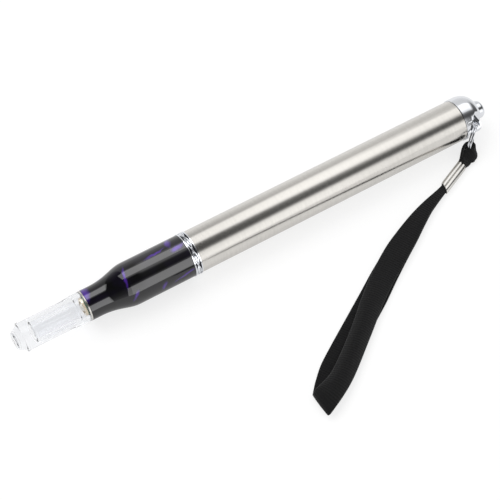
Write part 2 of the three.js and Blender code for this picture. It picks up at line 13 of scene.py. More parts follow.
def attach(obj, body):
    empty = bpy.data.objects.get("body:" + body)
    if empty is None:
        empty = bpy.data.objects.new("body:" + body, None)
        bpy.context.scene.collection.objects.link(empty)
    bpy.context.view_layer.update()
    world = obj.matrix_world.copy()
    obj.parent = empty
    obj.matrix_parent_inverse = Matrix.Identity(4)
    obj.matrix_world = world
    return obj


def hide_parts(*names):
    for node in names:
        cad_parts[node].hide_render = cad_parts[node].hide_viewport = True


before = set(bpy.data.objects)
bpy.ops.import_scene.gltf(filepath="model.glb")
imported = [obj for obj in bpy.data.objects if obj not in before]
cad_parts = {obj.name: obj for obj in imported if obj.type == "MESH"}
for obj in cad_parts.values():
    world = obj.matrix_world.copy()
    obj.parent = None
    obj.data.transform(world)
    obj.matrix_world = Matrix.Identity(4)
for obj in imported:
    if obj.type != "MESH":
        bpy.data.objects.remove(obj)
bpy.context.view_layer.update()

MM = 0.001

# %% [markdown]
# ## The camera
# The pen's edges, its cap seam and its trim ring fix the photographer's place: about half a metre away, 58
# degrees above the bench and turned 31 degrees from the pen, with a long lens. A long lens keeps the tube's
# sides nearly parallel, so the pen doesn't look bent or stubby.

# %% Camera at the photograph's place
scene = bpy.context.scene
camera_data = bpy.data.cameras.new("bench_camera")
camera_data.sensor_width = 36.0
camera_data.lens = 104.4
camera = bpy.data.objects.new("bench_camera", camera_data)
scene.collection.objects.link(camera)
scene.camera = camera
camera.location = Vector((-152.992, -248.226, 446.576)) * MM
aim = Vector((-9.943, -9.834, 8.35)) * MM
camera.rotation_mode = "QUATERNION"
camera.rotation_quaternion = (aim - camera.location).to_track_quat("-Z", "Y")
scene.view_settings.view_transform = "Standard"
print("camera is", round((aim - camera.location).length / MM), "mm from the pen")

# %% [markdown]
# ## Colours and nodes
# Colours are written the way a paint chart gives them, as sRGB hex, and one function turns them into the
# linear numbers that the renderer works with. A second one adds a shader node with its settings, its links
# and a ramp's stops, which keeps each finish further down short enough to read. A whole node given as an
# input stands for its first output.

# %% Small helpers for finishes
def colour(text):
    parts = [int(text[i:i + 2], 16) / 255 for i in (0, 2, 4)]
    linear = [p / 12.92 if p <= 0.04045 else ((p + 0.055) / 1.055) ** 2.4 for p in parts]
    return (*linear, 1.0)


def add_node(tree, kind, inputs=None, stops=None, **settings):
    node = tree.nodes.new("ShaderNode" + kind)
    for key, value in settings.items():
        setattr(node, key, value)
    for key, value in (inputs or {}).items():
        if isinstance(value, bpy.types.Node):
            value = value.outputs[0]
        if isinstance(value, bpy.types.NodeSocket):
            tree.links.new(value, node.inputs[key])
        else:
            node.inputs[key].default_value = value
    if stops:
        ramp = node.color_ramp.elements
        ramp[0].position, ramp[1].position = stops[0][0], stops[-1][0]
        for position, tone in stops[1:-1]:
            ramp.new(position).color = tone
        ramp[0].color, ramp[-1].color = stops[0][1], stops[-1][1]
    return node


def new_finish(name):
    finish = bpy.data.materials.new(name)
    finish.use_nodes = True
    finish.node_tree.nodes.clear()
    return finish, finish.node_tree


def show(tree, shader):
    add_node(tree, "OutputMaterial", {"Surface": shader})


print("marbled violet in linear light:", [round(c, 3) for c in colour("4A268E")])

# %% [markdown]
# ## Building surfaces
# Nearly every rigid piece here came off a lathe, so one helper spins a half outline round the pen's axis,
# 8.3 mm above the bench. The outline is a list of (distance from the tip, radius, rounding) in millimetres.
# Rounded corners matter: a sharp edge catches no light, and a real one always does. Another helper skins a
# row of equal loops, which serves for wire and webbing. Shading is smooth, except across a sharp bend.

# %% Round the corners of an outline
CORNER_STEPS = 4


def soften(outline):
    points = []
    for i, (s, r, *more) in enumerate(outline):
        size = more[0] if more else 0
        if not size or i in (0, len(outline) - 1):
            points.append((s, r))
            continue
        here = Vector((s, r))
        back = Vector(outline[i - 1][:2]) - here
        on = Vector(outline[i + 1][:2]) - here
        a = here + back.normalized() * min(size, back.length * 0.45)
        b = here + on.normalized() * min(size, on.length * 0.45)
        for k in range(CORNER_STEPS + 1):
            t = k / CORNER_STEPS
            points.append(tuple(a * (1 - t) ** 2 + here * 2 * t * (1 - t) + b * t * t))
    return points


print("a rounded corner has", len(soften([(0, 0), (0, 3, 0.3), (5, 3)])) - 2, "points")

# %% Skin a row of loops and place the piece
CREASE = 28


def skin(bm, loops, closed=False):
    rows = [[bm.verts.new(Vector(p) * MM) for p in loop] for loop in loops]
    count = len(rows[0])
    pairs = list(zip(rows, rows[1:])) + ([(rows[-1], rows[0])] if closed else [])
    for low, high in pairs:
        for k in range(count):
            n = (k + 1) % count
            bm.faces.new((low[k], high[k], high[n], low[n]))
    if not closed:
        bm.faces.new(rows[0])
        bm.faces.new(rows[-1])
    return rows


def finish_mesh(bm, name, crease=CREASE):
    bmesh.ops.remove_doubles(bm, verts=bm.verts, dist=1e-7)
    bmesh.ops.recalc_face_normals(bm, faces=bm.faces)
    for face in bm.faces:
        face.smooth = True
    for edge in bm.edges:
        if len(edge.link_faces) == 2 and edge.calc_face_angle(0) > math.radians(crease):
            edge.smooth = False
    mesh = bpy.data.meshes.new(name)
    bm.to_mesh(mesh)
    bm.free()
    piece = bpy.data.objects.new(name, mesh)
    scene.collection.objects.link(piece)
    return piece


def place(piece, body, slot, finish, *nodes):
    piece.data.materials.append(finish)
    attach(piece, body)
    if nodes:
        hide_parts(*nodes)
    return piece


print("edges bent by more than", CREASE, "degrees stay crisp")

# %% Lathe
AXIS_HEIGHT = 8.3
TIP = -98.9
ROUND = 144


def turns(count):
    return [2 * math.pi * k / count for k in range(count)]


def lathe(bm, outline, steps=ROUND, ripple=None):
    rows = []
    for s, r in outline:
        if r < 1e-6:
            rows.append([bm.verts.new(((s + TIP) * MM, 0, AXIS_HEIGHT * MM))])
            continue
        row = []
        for turn in turns(steps):
            radius = r * (ripple(s, turn) if ripple else 1)
            row.append(bm.verts.new(((s + TIP) * MM, radius * math.sin(turn) * MM,
                                     (AXIS_HEIGHT + radius * math.cos(turn)) * MM)))
        rows.append(row)
    for low, high in zip(rows, rows[1:]):
        for k in range(steps):
            n = (k + 1) % steps
            if len(low) == 1:
                bm.faces.new((low[0], high[k], high[n]))
            elif len(high) == 1:
                bm.faces.new((low[k], high[0], low[n]))
            else:
                bm.faces.new((low[k], high[k], high[n], low[n]))


def turned(name, outline, steps=ROUND):
    bm = bmesh.new()
    lathe(bm, soften(outline), steps)
    return finish_mesh(bm, name)


print("a 16 mm tube gets facets of", round(math.pi * 16 / ROUND, 2), "mm")

# %% [markdown]
# ## Woven webbing
# The strap is 10 mm polyester webbing, woven with thick cross threads, so it shows fine ribs across its
# width. Polyester thread is nearly black here, with a dull sheen at grazing light. The ribs are built into
# the mesh. The finish adds the single threads, 0.35 mm apart, which run along the strap, and a fuzz of loose
# fibre. The wave texture makes about 3.2 bands in each unit, so its scale is divided by that.

# %% Black webbing finish
THREAD_SPACING, FUZZ_WIDTH = 0.35, 2 / 7
WAVES_PER_UNIT = 3.2
webbing_finish, tree = new_finish("black_polyester_webbing")
along_thread = add_node(tree, "UVMap")
thread_wave = add_node(tree, "TexWave", {"Vector": along_thread,
                       "Scale": 1 / THREAD_SPACING / WAVES_PER_UNIT, "Distortion": 0.6, "Detail": 1.0},
                       wave_type="BANDS", bands_direction="X")
fuzz = add_node(tree, "TexNoise", {"Vector": along_thread, "Scale": 1 / FUZZ_WIDTH, "Detail": 4.0})
thread_colour = add_node(tree, "ValToRGB", {"Fac": fuzz},
                         stops=[(0.3, colour("0A0A0B")), (0.75, colour("171718"))])
thread_bump = add_node(tree, "Bump", {"Strength": 0.5, "Distance": 0.0001,
                       "Height": thread_wave.outputs["Fac"]})
webbing_shader = add_node(tree, "BsdfPrincipled", {"Base Color": thread_colour, "Roughness": 0.85,
                          "Specular IOR Level": 0.25, "Sheen Weight": 0.15, "Sheen Roughness": 0.5,
                          "Normal": thread_bump})
show(tree, webbing_shader)
print("webbing finish, threads", THREAD_SPACING, "mm apart")

# %% [markdown]
# ## The hand loop
# The strap leaves its crimped sleeve, lies on the bench, turns over in a soft fold and comes back on top of
# itself. It could be a cloth simulation, but a strap that lies still is simpler to steer: each
# station gives the middle of the webbing, the way across it in plan, half its width, its thickness, how far
# it arches and how far it leans. A smooth curve through the stations does the rest.

# %% Where the sleeve lies
EYE = Vector((86.272, -10.804, 2.15))
SLEEVE_TURN = math.radians(203.9)
SLEEVE_LENGTH = 13.6
MOUTH_OUT, MOUTH_ASIDE, MOUTH_HEIGHT = 6.32, 1.24, 1.42
LOWER_GRIP, UPPER_GRIP = 3.5, 8.4
RUN_LIFT = 0.45
sleeve_dir = Vector((math.cos(SLEEVE_TURN), math.sin(SLEEVE_TURN), 0))
sleeve_side = Vector((-sleeve_dir.y, sleeve_dir.x, 0))
MOUTH = Vector((*(EYE + sleeve_dir * MOUTH_OUT + sleeve_side * MOUTH_ASIDE).xy, MOUTH_HEIGHT))
lower_mouth = MOUTH + sleeve_dir * SLEEVE_LENGTH


def in_sleeve(depth, lift):
    return (*(lower_mouth - sleeve_dir * depth).xy, MOUTH.z + lift)


print("webbing leaves the sleeve at, mm:", [round(v, 1) for v in lower_mouth])

# %% Stations along the webbing
stations = [
    (*in_sleeve(LOWER_GRIP, -RUN_LIFT), -66, 1.3, 0.65, 0.0, 0),
    (*in_sleeve(0, -RUN_LIFT), -66, 1.35, 0.65, 0.0, 0),
    (58.5, -23.7, 0.75, -66, 2.3, 1.0, 0.0, 0),
    (52.6, -26.4, 0.65, -64, 3.1, 1.15, 0.0, 0),
    (45.2, -30.3, 0.65, -62, 3.95, 1.15, 0.0, 0),
    (37.5, -34.5, 0.65, -60, 4.45, 1.15, 0.0, 0),
    (28.4, -40.0, 0.65, -58, 4.8, 1.15, 0.0, 0),
    (20.0, -45.5, 0.65, -58, 5.0, 1.15, 0.0, 0),
    (9.3, -52.1, 0.65, -58, 5.0, 1.15, 0.0, 0),
    (-1.4, -58.7, 0.65, -58, 5.0, 1.15, 0.0, 0),
    (-8.1, -63.1, 0.65, -58, 5.0, 1.15, 0.0, 0),
    (-13.0, -67.3, 0.66, -62, 5.0, 1.15, 0.0, 0),
    (-17.2, -70.8, 0.95, -76, 4.9, 1.15, 0.0, 0),
    (-19.2, -72.3, 2.4, -88, 4.8, 1.15, 0.2, 0),
    (-17.2, -71.6, 3.85, -76, 4.7, 1.15, 0.7, 0),
    (-12.8, -69.8, 4.0, -62, 4.3, 1.15, 1.4, -3),
    (-7.2, -67.0, 3.8, -54, 3.9, 1.15, 2.0, -5),
    (7.3, -56.3, 3.4, -52, 3.75, 1.15, 2.2, -6),
    (19.2, -46.6, 2.9, -53, 4.05, 1.15, 1.6, -4),
    (28.0, -40.3, 2.4, -57, 4.3, 1.15, 0.8, -2),
    (37.5, -34.5, 2.2, -60, 4.45, 1.15, 0.4, 0),
    (45.2, -30.3, 2.15, -62, 3.95, 1.15, 0.3, 0),
    (52.6, -26.4, 2.15, -64, 3.1, 1.1, 0.2, 0),
    (58.5, -23.7, 2.1, -66, 2.3, 1.0, 0.1, 0),
    (*in_sleeve(0, RUN_LIFT), -66, 1.35, 0.65, 0.0, 0),
    (*in_sleeve(UPPER_GRIP, RUN_LIFT), -66, 1.3, 0.65, 0.0, 0),
]
print(len(stations), "stations from grip to grip")

# %% Smooth curve through the stations
def through(points, t):
    f = t * (len(points) - 1)
    k = min(int(f), len(points) - 2)
    w = f - k
    p1, p2 = points[k], points[k + 1]
    p0 = points[k - 1] if k else p1 * 2 - p2
    p3 = points[k + 2] if k + 2 < len(points) else p2 * 2 - p1
    d0, d1, d2 = [max((b - a).length, 1e-6) ** 0.5 for a, b in ((p0, p1), (p1, p2), (p2, p3))]
    m1 = ((p1 - p0) / d0 - (p2 - p0) / (d0 + d1) + (p2 - p1) / d1) * d1
    m2 = ((p2 - p1) / d1 - (p3 - p1) / (d1 + d2) + (p3 - p2) / d2) * d1
    return (p1 * (2 * w ** 3 - 3 * w ** 2 + 1) + m1 * (w ** 3 - 2 * w ** 2 + w)
            + p2 * (3 * w ** 2 - 2 * w ** 3) + m2 * (w ** 3 - w ** 2))


middles = [Vector(row[:3]) for row in stations]
extras = [[row[i] for row in stations] for i in range(3, 8)]
FINE_STEPS = 2500
dense = [through(middles, i / FINE_STEPS) for i in range(FINE_STEPS + 1)]
run = [0.0]
for a, b in zip(dense, dense[1:]):
    run.append(run[-1] + (b - a).length)
loop_length = run[-1]
print("webbing in the hand loop, mm:", round(loop_length, 1))

# %% [markdown]
# ## Weave of the hand loop
# The curve's own steps are uneven, and ribs that follow them would bunch up in the fold. So the rows are
# spaced by the length of webbing, six to each rib, as a loom would do it. The section is a flat strip with
# thinner woven edges. Where the sleeve pinches the webbing to a narrow bundle, the ribs nearly vanish.

# %% Even steps along the webbing
RIB = 0.95
ROWS_PER_RIB = 6
rows_wanted = int(loop_length / RIB * ROWS_PER_RIB)


def at_length(s):
    low, high = 0, len(run) - 1
    while high - low > 1:
        mid = (low + high) // 2
        if run[mid] <= s:
            low = mid
        else:
            high = mid
    return (low + (s - run[low]) / max(run[high] - run[low], 1e-9)) / (len(run) - 1)


def between(values, t):
    f = t * (len(values) - 1)
    k = min(int(f), len(values) - 2)
    w = f - k
    p0 = values[max(k - 1, 0)]
    p1, p2 = values[k], values[k + 1]
    p3 = values[min(k + 2, len(values) - 1)]
    return p1 + 0.5 * w * (p2 - p0 + w * (2 * p0 - 5 * p1 + 4 * p2 - p3 + w * (3 * (p1 - p2) + p3 - p0)))


print(rows_wanted + 1, "rows, so that each rib gets", ROWS_PER_RIB)

# %% Section of the webbing, carried along the route
SELVEDGE = [(0.94, 0.96), (0.985, 0.75), (1, 0.35)]
FLAT = [(-0.84 + 1.68 * i / 10, 1.0) for i in range(11)]
ACROSS = [(-u, v) for u, v in reversed(SELVEDGE)] + FLAT + SELVEDGE
SECTION = ACROSS + [(u, -v) for u, v in reversed(ACROSS)]
RIB_HEIGHT, PINCHED_RIB, PINCHED_BELOW = 0.05, 0.35, 1.6
ARCH_MIDDLE = 0.58
LOOK_AHEAD = 4e-4
loops, centre_line, lengths = [], [], []
for i in range(rows_wanted + 1):
    s = loop_length * i / rows_wanted
    t = at_length(s)
    middle = through(middles, t)
    ahead = (through(middles, min(t + LOOK_AHEAD, 1))
             - through(middles, max(t - LOOK_AHEAD, 0))).normalized()
    angle, half, thick, arch, lean = [between(values, t) for values in extras]
    turn, tip_over = math.radians(angle), math.radians(lean)
    side = Vector((math.cos(turn) * math.cos(tip_over), math.sin(turn) * math.cos(tip_over),
                   math.sin(tip_over)))
    out = side.cross(ahead).normalized()
    rib = RIB_HEIGHT * math.cos(2 * math.pi * s / RIB) * (PINCHED_RIB if half < PINCHED_BELOW else 1)
    loops.append([middle + side * (u * half)
                  + out * (arch * (1 - u * u - ARCH_MIDDLE) + v * (thick / 2 - RIB_HEIGHT + rib))
                  for u, v in SECTION])
    centre_line.append(middle)
    lengths.append(s)
print(len(loops), "rows of", len(SECTION), "points")

# %% Skin the hand loop
def lay_threads(bm, where):
    uv_layer = bm.loops.layers.uv.new("webbing")
    for face in bm.faces:
        for corner in face.loops:
            corner[uv_layer].uv = where[corner.vert]


HALF_WIDTH = 5.0
UNDERSIDE_SHIFT = 20.0
bm = bmesh.new()
where = {}
for row, s in zip(skin(bm, loops), lengths):
    for vert, (u, v) in zip(row, SECTION):
        where[vert] = (u * HALF_WIDTH + (UNDERSIDE_SHIFT if v < 0 else 0.0), s)
lay_threads(bm, where)
hand_loop = place(finish_mesh(bm, "hand_loop", 60), "strap_body", "black_webbing", webbing_finish,
                  "wrist_loop")
print("hand loop:", len(hand_loop.data.polygons), "faces")

# %% [markdown]
# ## Eye of the strap
# At the pen's end the webbing is folded in half along its length, taken round the split ring standing on
# edge, and led back into the sleeve. That is why no bench shows between its two legs: the far leg stands
# behind the gap like a little wall, and the near leg leans over it. Each row gives a place on the way round
# (out from the sleeve's mouth, then sideways), half the thickness, half the height, how high the middle
# stands and how far the band leans, in degrees. The wire of the ring passes under the band's far end.

# %% Folded webbing round the split ring
WRAP = [
    (-3.0, -0.92, 0.72, 0.80, 1.42, 0), (-1.2, -0.95, 0.68, 0.90, 1.46, 0),
    (1.0, -1.50, 0.60, 1.55, 2.20, 0), (2.8, -2.25, 0.60, 2.00, 2.95, 0),
    (4.6, -2.85, 0.60, 2.20, 3.40, 0), (6.2, -2.80, 0.60, 2.15, 3.70, 0),
    (7.35, -2.05, 0.58, 2.05, 4.00, 0), (7.80, -0.90, 0.55, 1.95, 4.15, 0),
    (7.30, 0.40, 0.58, 2.10, 3.80, 10), (5.8, 1.10, 0.60, 2.60, 3.30, 33),
    (3.9, 0.55, 0.62, 3.00, 2.95, 50), (2.2, 0.35, 0.66, 2.55, 2.45, 58),
    (0.6, 0.80, 0.70, 1.90, 1.95, 46), (-0.8, 0.95, 0.72, 1.05, 1.50, 15),
    (-1.8, 0.90, 0.72, 0.80, 1.42, 0), (-3.0, 0.90, 0.72, 0.80, 1.42, 0)]
WRAP_STEPS = 300
WRAP_LOOK_AHEAD = 2e-3
WRAP_RIB = 0.03
THREAD_ROOM = 0.3
SQUARE_SIDES, SQUARE_TOP = 0.55, 0.7


def fatten(value, power):
    return math.copysign(abs(value) ** power, value)


wrap_points = [Vector((*(MOUTH - sleeve_dir * row[0] + sleeve_side * row[1]).xy, row[4])) for row in WRAP]
halves, heights, leans = [[row[i] for row in WRAP] for i in (2, 3, 5)]
loops, lengths, travelled, last = [], [], 0.0, None
for i in range(WRAP_STEPS + 1):
    t = i / WRAP_STEPS
    middle = through(wrap_points, t)
    travelled += (middle - last).length if last else 0
    last = middle
    ahead = (through(wrap_points, min(t + WRAP_LOOK_AHEAD, 1))
             - through(wrap_points, max(t - WRAP_LOOK_AHEAD, 0))).normalized()
    side = ahead.cross(Vector((0, 0, 1))).normalized()
    up = side.cross(ahead)
    half, tall, lean = between(halves, t), between(heights, t), math.radians(between(leans, t))
    up, side = up * math.cos(lean) + side * math.sin(lean), side * math.cos(lean) - up * math.sin(lean)
    rib = WRAP_RIB * math.cos(2 * math.pi * travelled / RIB)
    loops.append([middle + side * ((half + rib) * fatten(math.cos(turn), SQUARE_SIDES))
                  + up * ((tall + rib) * fatten(math.sin(turn), SQUARE_TOP)) for turn in turns(32)])
    lengths.append(travelled)
bm = bmesh.new()
where = {}
for row, s in zip(skin(bm, loops), lengths):
    where.update((vert, (k * THREAD_ROOM, s)) for k, vert in enumerate(row))
lay_threads(bm, where)
strap_eye = place(finish_mesh(bm, "folded_eye", 60), "strap_body", "black_webbing", webbing_finish,
                  "strap_eye")
print("folded webbing, mm:", round(travelled, 1))

# %% [markdown]
# ## Chrome and bright aluminium
# Chrome plate is a thin mirror over polished metal. What makes it read as chrome is what it reflects, so its
# own settings are plain: full metal, almost no roughness. Real plate is handled, so a faint, large smear
# pattern lifts the roughness a little here and there. The sleeve is softer, bright-dipped aluminium.

# %% Chrome plate and bright aluminium
def handled_metal(name, tint, low, high, smear_mm):
    finish, tree = new_finish(name)
    spot = add_node(tree, "TexCoord")
    smear = add_node(tree, "TexNoise", {"Vector": spot.outputs["Object"], "Scale": 1 / (smear_mm * MM),
                     "Detail": 3.0, "Roughness": 0.6})
    rough = add_node(tree, "MapRange", {"Value": smear, "From Min": 0.35, "From Max": 0.7, "To Min": low,
                     "To Max": high})
    shader = add_node(tree, "BsdfPrincipled", {"Base Color": colour(tint), "Metallic": 1.0,
                      "Roughness": rough})
    show(tree, shader)
    return finish


chrome = handled_metal("chrome_plate", "E4E6EA", 0.03, 0.08, 5)
bright_aluminium = handled_metal("bright_dipped_aluminium", "D2D0CC", 0.16, 0.24, 3)
turned_brass = handled_metal("turned_brass", "E2D3B8", 0.2, 0.34, 2)
turned_aluminium = handled_metal("turned_aluminium", "C6C8CA", 0.3, 0.45, 2)
enamelled_copper = handled_metal("enamelled_copper_wire", "B4683C", 0.2, 0.35, 2)
drawn_steel = handled_metal("drawn_steel_wire", "C4C4C4", 0.2, 0.3, 1.5)
print("chrome in linear light:", [round(c, 3) for c in colour("E4E6EA")[:3]])

# %% [markdown]
# ## Crimped sleeve
# A short piece of tube is slipped over both ends of the webbing and pressed in a die with two hollows, which
# leaves it in the form of two lobes side by side. The outline is worked out as the outer edge of two
# overlapping circles, and the hole is a flat slot. Both are skinned as one closed shell with rounded lips,
# whose two mouths slant by 35 degrees.

# %% Two-lobed sleeve
LOBE, LOBE_OFFSET = 1.4, 0.7
SLOT_HALF_WIDE, SLOT_HALF_HIGH = 1.8, 0.95
SLANT = math.tan(math.radians(35))


def lobes(radius):
    def edge(turn):
        c, s = math.cos(turn), math.sin(turn)
        reach = abs(c) * LOBE_OFFSET + math.sqrt(max(radius ** 2 - (LOBE_OFFSET * s) ** 2, 0))
        return Vector((c * reach, s * reach))
    return edge


def slot(turn):
    c, s = math.cos(turn), math.sin(turn)
    flat = SLOT_HALF_WIDE - SLOT_HALF_HIGH
    if abs(c) * SLOT_HALF_HIGH <= flat * abs(s):
        reach = SLOT_HALF_HIGH / max(abs(s), 1e-9)
    else:
        reach = abs(c) * flat + math.sqrt(max(SLOT_HALF_HIGH ** 2 - (flat * s) ** 2, 0))
    return Vector((c * reach, s * reach))


def sleeve_ring(x, edge):
    points = []
    for turn in turns(72):
        flat = edge(turn)
        points.append(MOUTH + sleeve_dir * (x + SLANT * flat.x) + sleeve_side * flat.x
                      + Vector((0, 0, flat.y)))
    return points


near_lip = [(0, LOBE - 0.1), (0.06, LOBE - 0.03), (0.2, LOBE)]
far_lip = [(SLEEVE_LENGTH - x, radius) for x, radius in reversed(near_lip)]
bm = bmesh.new()
skin(bm, [sleeve_ring(0, slot)] + [sleeve_ring(x, lobes(radius)) for x, radius in near_lip + far_lip]
     + [sleeve_ring(SLEEVE_LENGTH, slot)], closed=True)
sleeve = place(finish_mesh(bm, "crimped_sleeve", 40), "strap_body", "bright_aluminium", bright_aluminium,
               "strap_ferrule")
print("sleeve:", SLEEVE_LENGTH, "mm long and", round(2 * (LOBE + LOBE_OFFSET), 1), "mm wide")

# %% [markdown]
# ## Split ring
# A split ring is spring wire wound twice round, the turns lying face to face, with one short step where the
# wire crosses from one turn to the other. It goes down through the cap's eye and up through the strap's.

# %% Double coil of wire
SPLIT_MIDDLE = Vector((89.170, -8.415, 5.25))
SPLIT_DEGREES = 219.5
SPLIT_RADIUS, COIL_SHIFT, WIRE = 4.87, 0.42, 0.355
WIRE_STEPS, FIRST, WOUND, CROSS_FROM, CROSS_OVER = 360, 36, 648, 324, 72
START_TURN, SQUARE_WIRE = 225, 0.75
SPLIT_TURN = math.radians(SPLIT_DEGREES)
SPLIT_OUT = Vector((math.cos(SPLIT_TURN), math.sin(SPLIT_TURN), 0))
SPLIT_SIDE = Vector((-SPLIT_OUT.y, SPLIT_OUT.x, 0))
loops = []
for i in range(WIRE_STEPS + 1):
    along = FIRST + i / WIRE_STEPS * WOUND
    step = min(max((along - CROSS_FROM) / CROSS_OVER, 0), 1)
    step = step * step * (3 - 2 * step)
    turn = math.radians(along + START_TURN)
    spoke = SPLIT_OUT * math.cos(turn) + Vector((0, 0, math.sin(turn)))
    middle = SPLIT_MIDDLE + spoke * SPLIT_RADIUS + SPLIT_SIDE * (COIL_SHIFT * (2 * step - 1))
    loops.append([middle + spoke * (WIRE * fatten(math.cos(a), SQUARE_WIRE))
                  + SPLIT_SIDE * (WIRE * fatten(math.sin(a), SQUARE_WIRE)) for a in turns(16)])
bm = bmesh.new()
skin(bm, loops)
split_ring = place(finish_mesh(bm, "double_coil_ring", 50), "ring_body", "chrome_plate", chrome, "split_ring")
print("split ring:", round(2 * (SPLIT_RADIUS + WIRE), 1), "mm across")

# %% [markdown]
# ## Length of the strap
# The hand loop is the one soft piece. Its length is printed here.

print("strap declared,", round(loop_length), "mm long")

# %% [markdown]
# ## Clear light guide
# The tip is turned from cast acrylic and polished, so it is as clear as glass but bends light a little less
# (IOR 1.49). It has a blind bore with shallow flutes, which spread the light and show as long bright and dark
# lines through the wall. A transparent shader for shadow rays lets daylight through it onto the bench.

# %% Clear acrylic
clear_acrylic, tree = new_finish("clear_cast_acrylic")
clear_shader = add_node(tree, "BsdfPrincipled", {"Base Color": colour("F1F2F4"), "Roughness": 0.08,
                        "IOR": 1.49, "Transmission Weight": 1.0})
let_through = add_node(tree, "BsdfTransparent", {"Color": colour("F4F5F8")})
ray = add_node(tree, "LightPath")
guide_mix = add_node(tree, "MixShader", {0: ray.outputs["Is Shadow Ray"], 1: clear_shader, 2: let_through})
show(tree, guide_mix)
print("clear acrylic has an IOR of", round(clear_shader.inputs["IOR"].default_value, 2))

# %% Turn the light guide
FOOT_END, FOOT_RADIUS = 27.4, 5.625
BODY_RADIUS, FLANGE_RADIUS = 5.225, 5.475
BORE, EMITTER_BORE = 3.1, 3.7
FLUTES, FLUTE_RISE = 10, 0.035
FLUTE_START, FLUTE_STOP, FLUTE_FADE = 7, 24, 3


def flutes(s, turn):
    fade = max(0, min(1, (s - FLUTE_START) / FLUTE_FADE, (FLUTE_STOP - s) / FLUTE_FADE))
    return 1 + FLUTE_RISE * math.cos(FLUTES * turn) * fade


bm = bmesh.new()
lathe(bm, soften([
    (0, 0), (0, 3.0, 0.5), (2.9, 4.68, 0.05), (3.1, 4.6), (3.1, FLANGE_RADIUS, 0.06),
    (3.85, FLANGE_RADIUS, 0.06), (3.85, BODY_RADIUS, 0.04), (20.9, BODY_RADIUS, 0.9),
    (23.5, FOOT_RADIUS, 0.9), (FOOT_END, FOOT_RADIUS, 0.1), (FOOT_END, 4.5, 0.05), (31.9, 4.5, 0.1),
    (31.9, EMITTER_BORE, 0.05), (24.4, EMITTER_BORE)]), 160)
lathe(bm, soften([
    (24.4, EMITTER_BORE), (23.9, 3.3, 0.3), (21.0, 3.12, 1.5), (20, BORE), (16, BORE), (12, BORE),
    (7.3, BORE, 0.6), (6.3, 1.6, 0.5), (6.0, 0)]), 160, flutes)
bmesh.ops.remove_doubles(bm, verts=bm.verts, dist=1e-6)
place(finish_mesh(bm, "clear_light_guide", 32), "pen_body", "clear_acrylic", clear_acrylic, "light_guide")
print("light guide:", FLUTES, "flutes in a", 2 * BORE, "mm bore")

# %% [markdown]
# ## Emitter, retainer and rim
# A turned brass ring holds the emitter in the foot of the guide, where it shows as a pale beige line. The
# emitter is a small lens cast in silicone, nearly white and slightly milky. A thin steel rim closes the joint
# between the clear foot and the nose. It is made further down, from the same steel as the tube.

# %% Emitter and its ring
BOARD_FACE, LENS_HEIGHT, LENS_RADIUS = 27.2, 1.5, 1.7
cast_lens, tree = new_finish("cast_silicone_lens")
cloud_at = add_node(tree, "TexCoord")
cloud = add_node(tree, "TexNoise", {"Vector": cloud_at.outputs["Object"], "Scale": 1 / (0.8 * MM)})
cloud_ramp = add_node(tree, "ValToRGB", {"Fac": cloud}, stops=[(0, colour("E6E2D6")), (1, colour("F2EFE6"))])
lens_shader = add_node(tree, "BsdfPrincipled", {"Base Color": cloud_ramp, "Roughness": 0.15, "IOR": 1.42})
show(tree, lens_shader)
lens_outline = [(BOARD_FACE - LENS_HEIGHT, 0)]
for k in range(1, 9):
    a = math.radians(90 * k / 8)
    lens_outline.append((BOARD_FACE - LENS_HEIGHT * math.cos(a), LENS_RADIUS * math.sin(a)))
lens_outline += [(BOARD_FACE, 0)]
place(turned("emitter_lens", lens_outline, steps=64), "pen_body", "emitter_resin", cast_lens, "uv_led")
retainer = turned("brass_retainer", [(26.3, 2.3), (26.3, 3.4, 0.12), (BOARD_FACE, 3.4, 0.05),
                                     (BOARD_FACE, 2.3), (26.3, 2.3)], steps=96)
place(retainer, "pen_body", "yellow_brass", turned_brass, "led_retainer")
print("emitter lens:", 2 * LENS_RADIUS, "mm across")

# %% [markdown]
# ## Brushed stainless tube
# The tube was spun in a lathe against an abrasive belt, so its scratches run round it, about 0.1 mm apart.
# That blurs a reflection along the pen but leaves the light and dark bands across it crisp. The scratches
# are drawn a little coarser than real so that they show at this size.

# %% Brushed stainless steel
SCRATCH_WIDTH, SCRATCH_LENGTH = 0.28 * MM, 14 * MM
brushed_steel, tree = new_finish("belt_brushed_stainless")
spot = add_node(tree, "TexCoord")
stretched = add_node(tree, "Mapping", {"Vector": spot.outputs["Object"],
                     "Scale": (1 / SCRATCH_WIDTH, 1 / SCRATCH_LENGTH, 1 / SCRATCH_LENGTH)})
scratch = add_node(tree, "TexNoise", {"Vector": stretched, "Scale": 1.0, "Detail": 3.0, "Roughness": 0.65})
steel_rough = add_node(tree, "MapRange", {"Value": scratch, "From Min": 0.3, "From Max": 0.7,
                       "To Min": 0.21, "To Max": 0.25})
steel_tint = add_node(tree, "ValToRGB", {"Fac": scratch},
                      stops=[(0.3, colour("D0CDC8")), (0.7, colour("DBD8D3"))])
steel_bump = add_node(tree, "Bump", {"Strength": 0.04, "Distance": 0.00002, "Height": scratch})
round_tube = add_node(tree, "Tangent", direction_type="RADIAL", axis="X")
steel_shader = add_node(tree, "BsdfPrincipled", {"Base Color": steel_tint, "Metallic": 1.0,
                        "Roughness": steel_rough, "Anisotropic": 0.5, "Anisotropic Rotation": 0.25,
                        "Normal": steel_bump, "Tangent": round_tube})
show(tree, steel_shader)
print("scratches drawn", round(SCRATCH_WIDTH / MM, 2), "mm apart")

# %% Turn the rim and the tube
SEAM, NECK_RADIUS, NOSE_BORE = 28.0, 5.7, 4.65
TUBE_START, TUBE_END, TUBE_RADIUS, TUBE_BORE = 70.7, 185.5, 8.0, 7.4


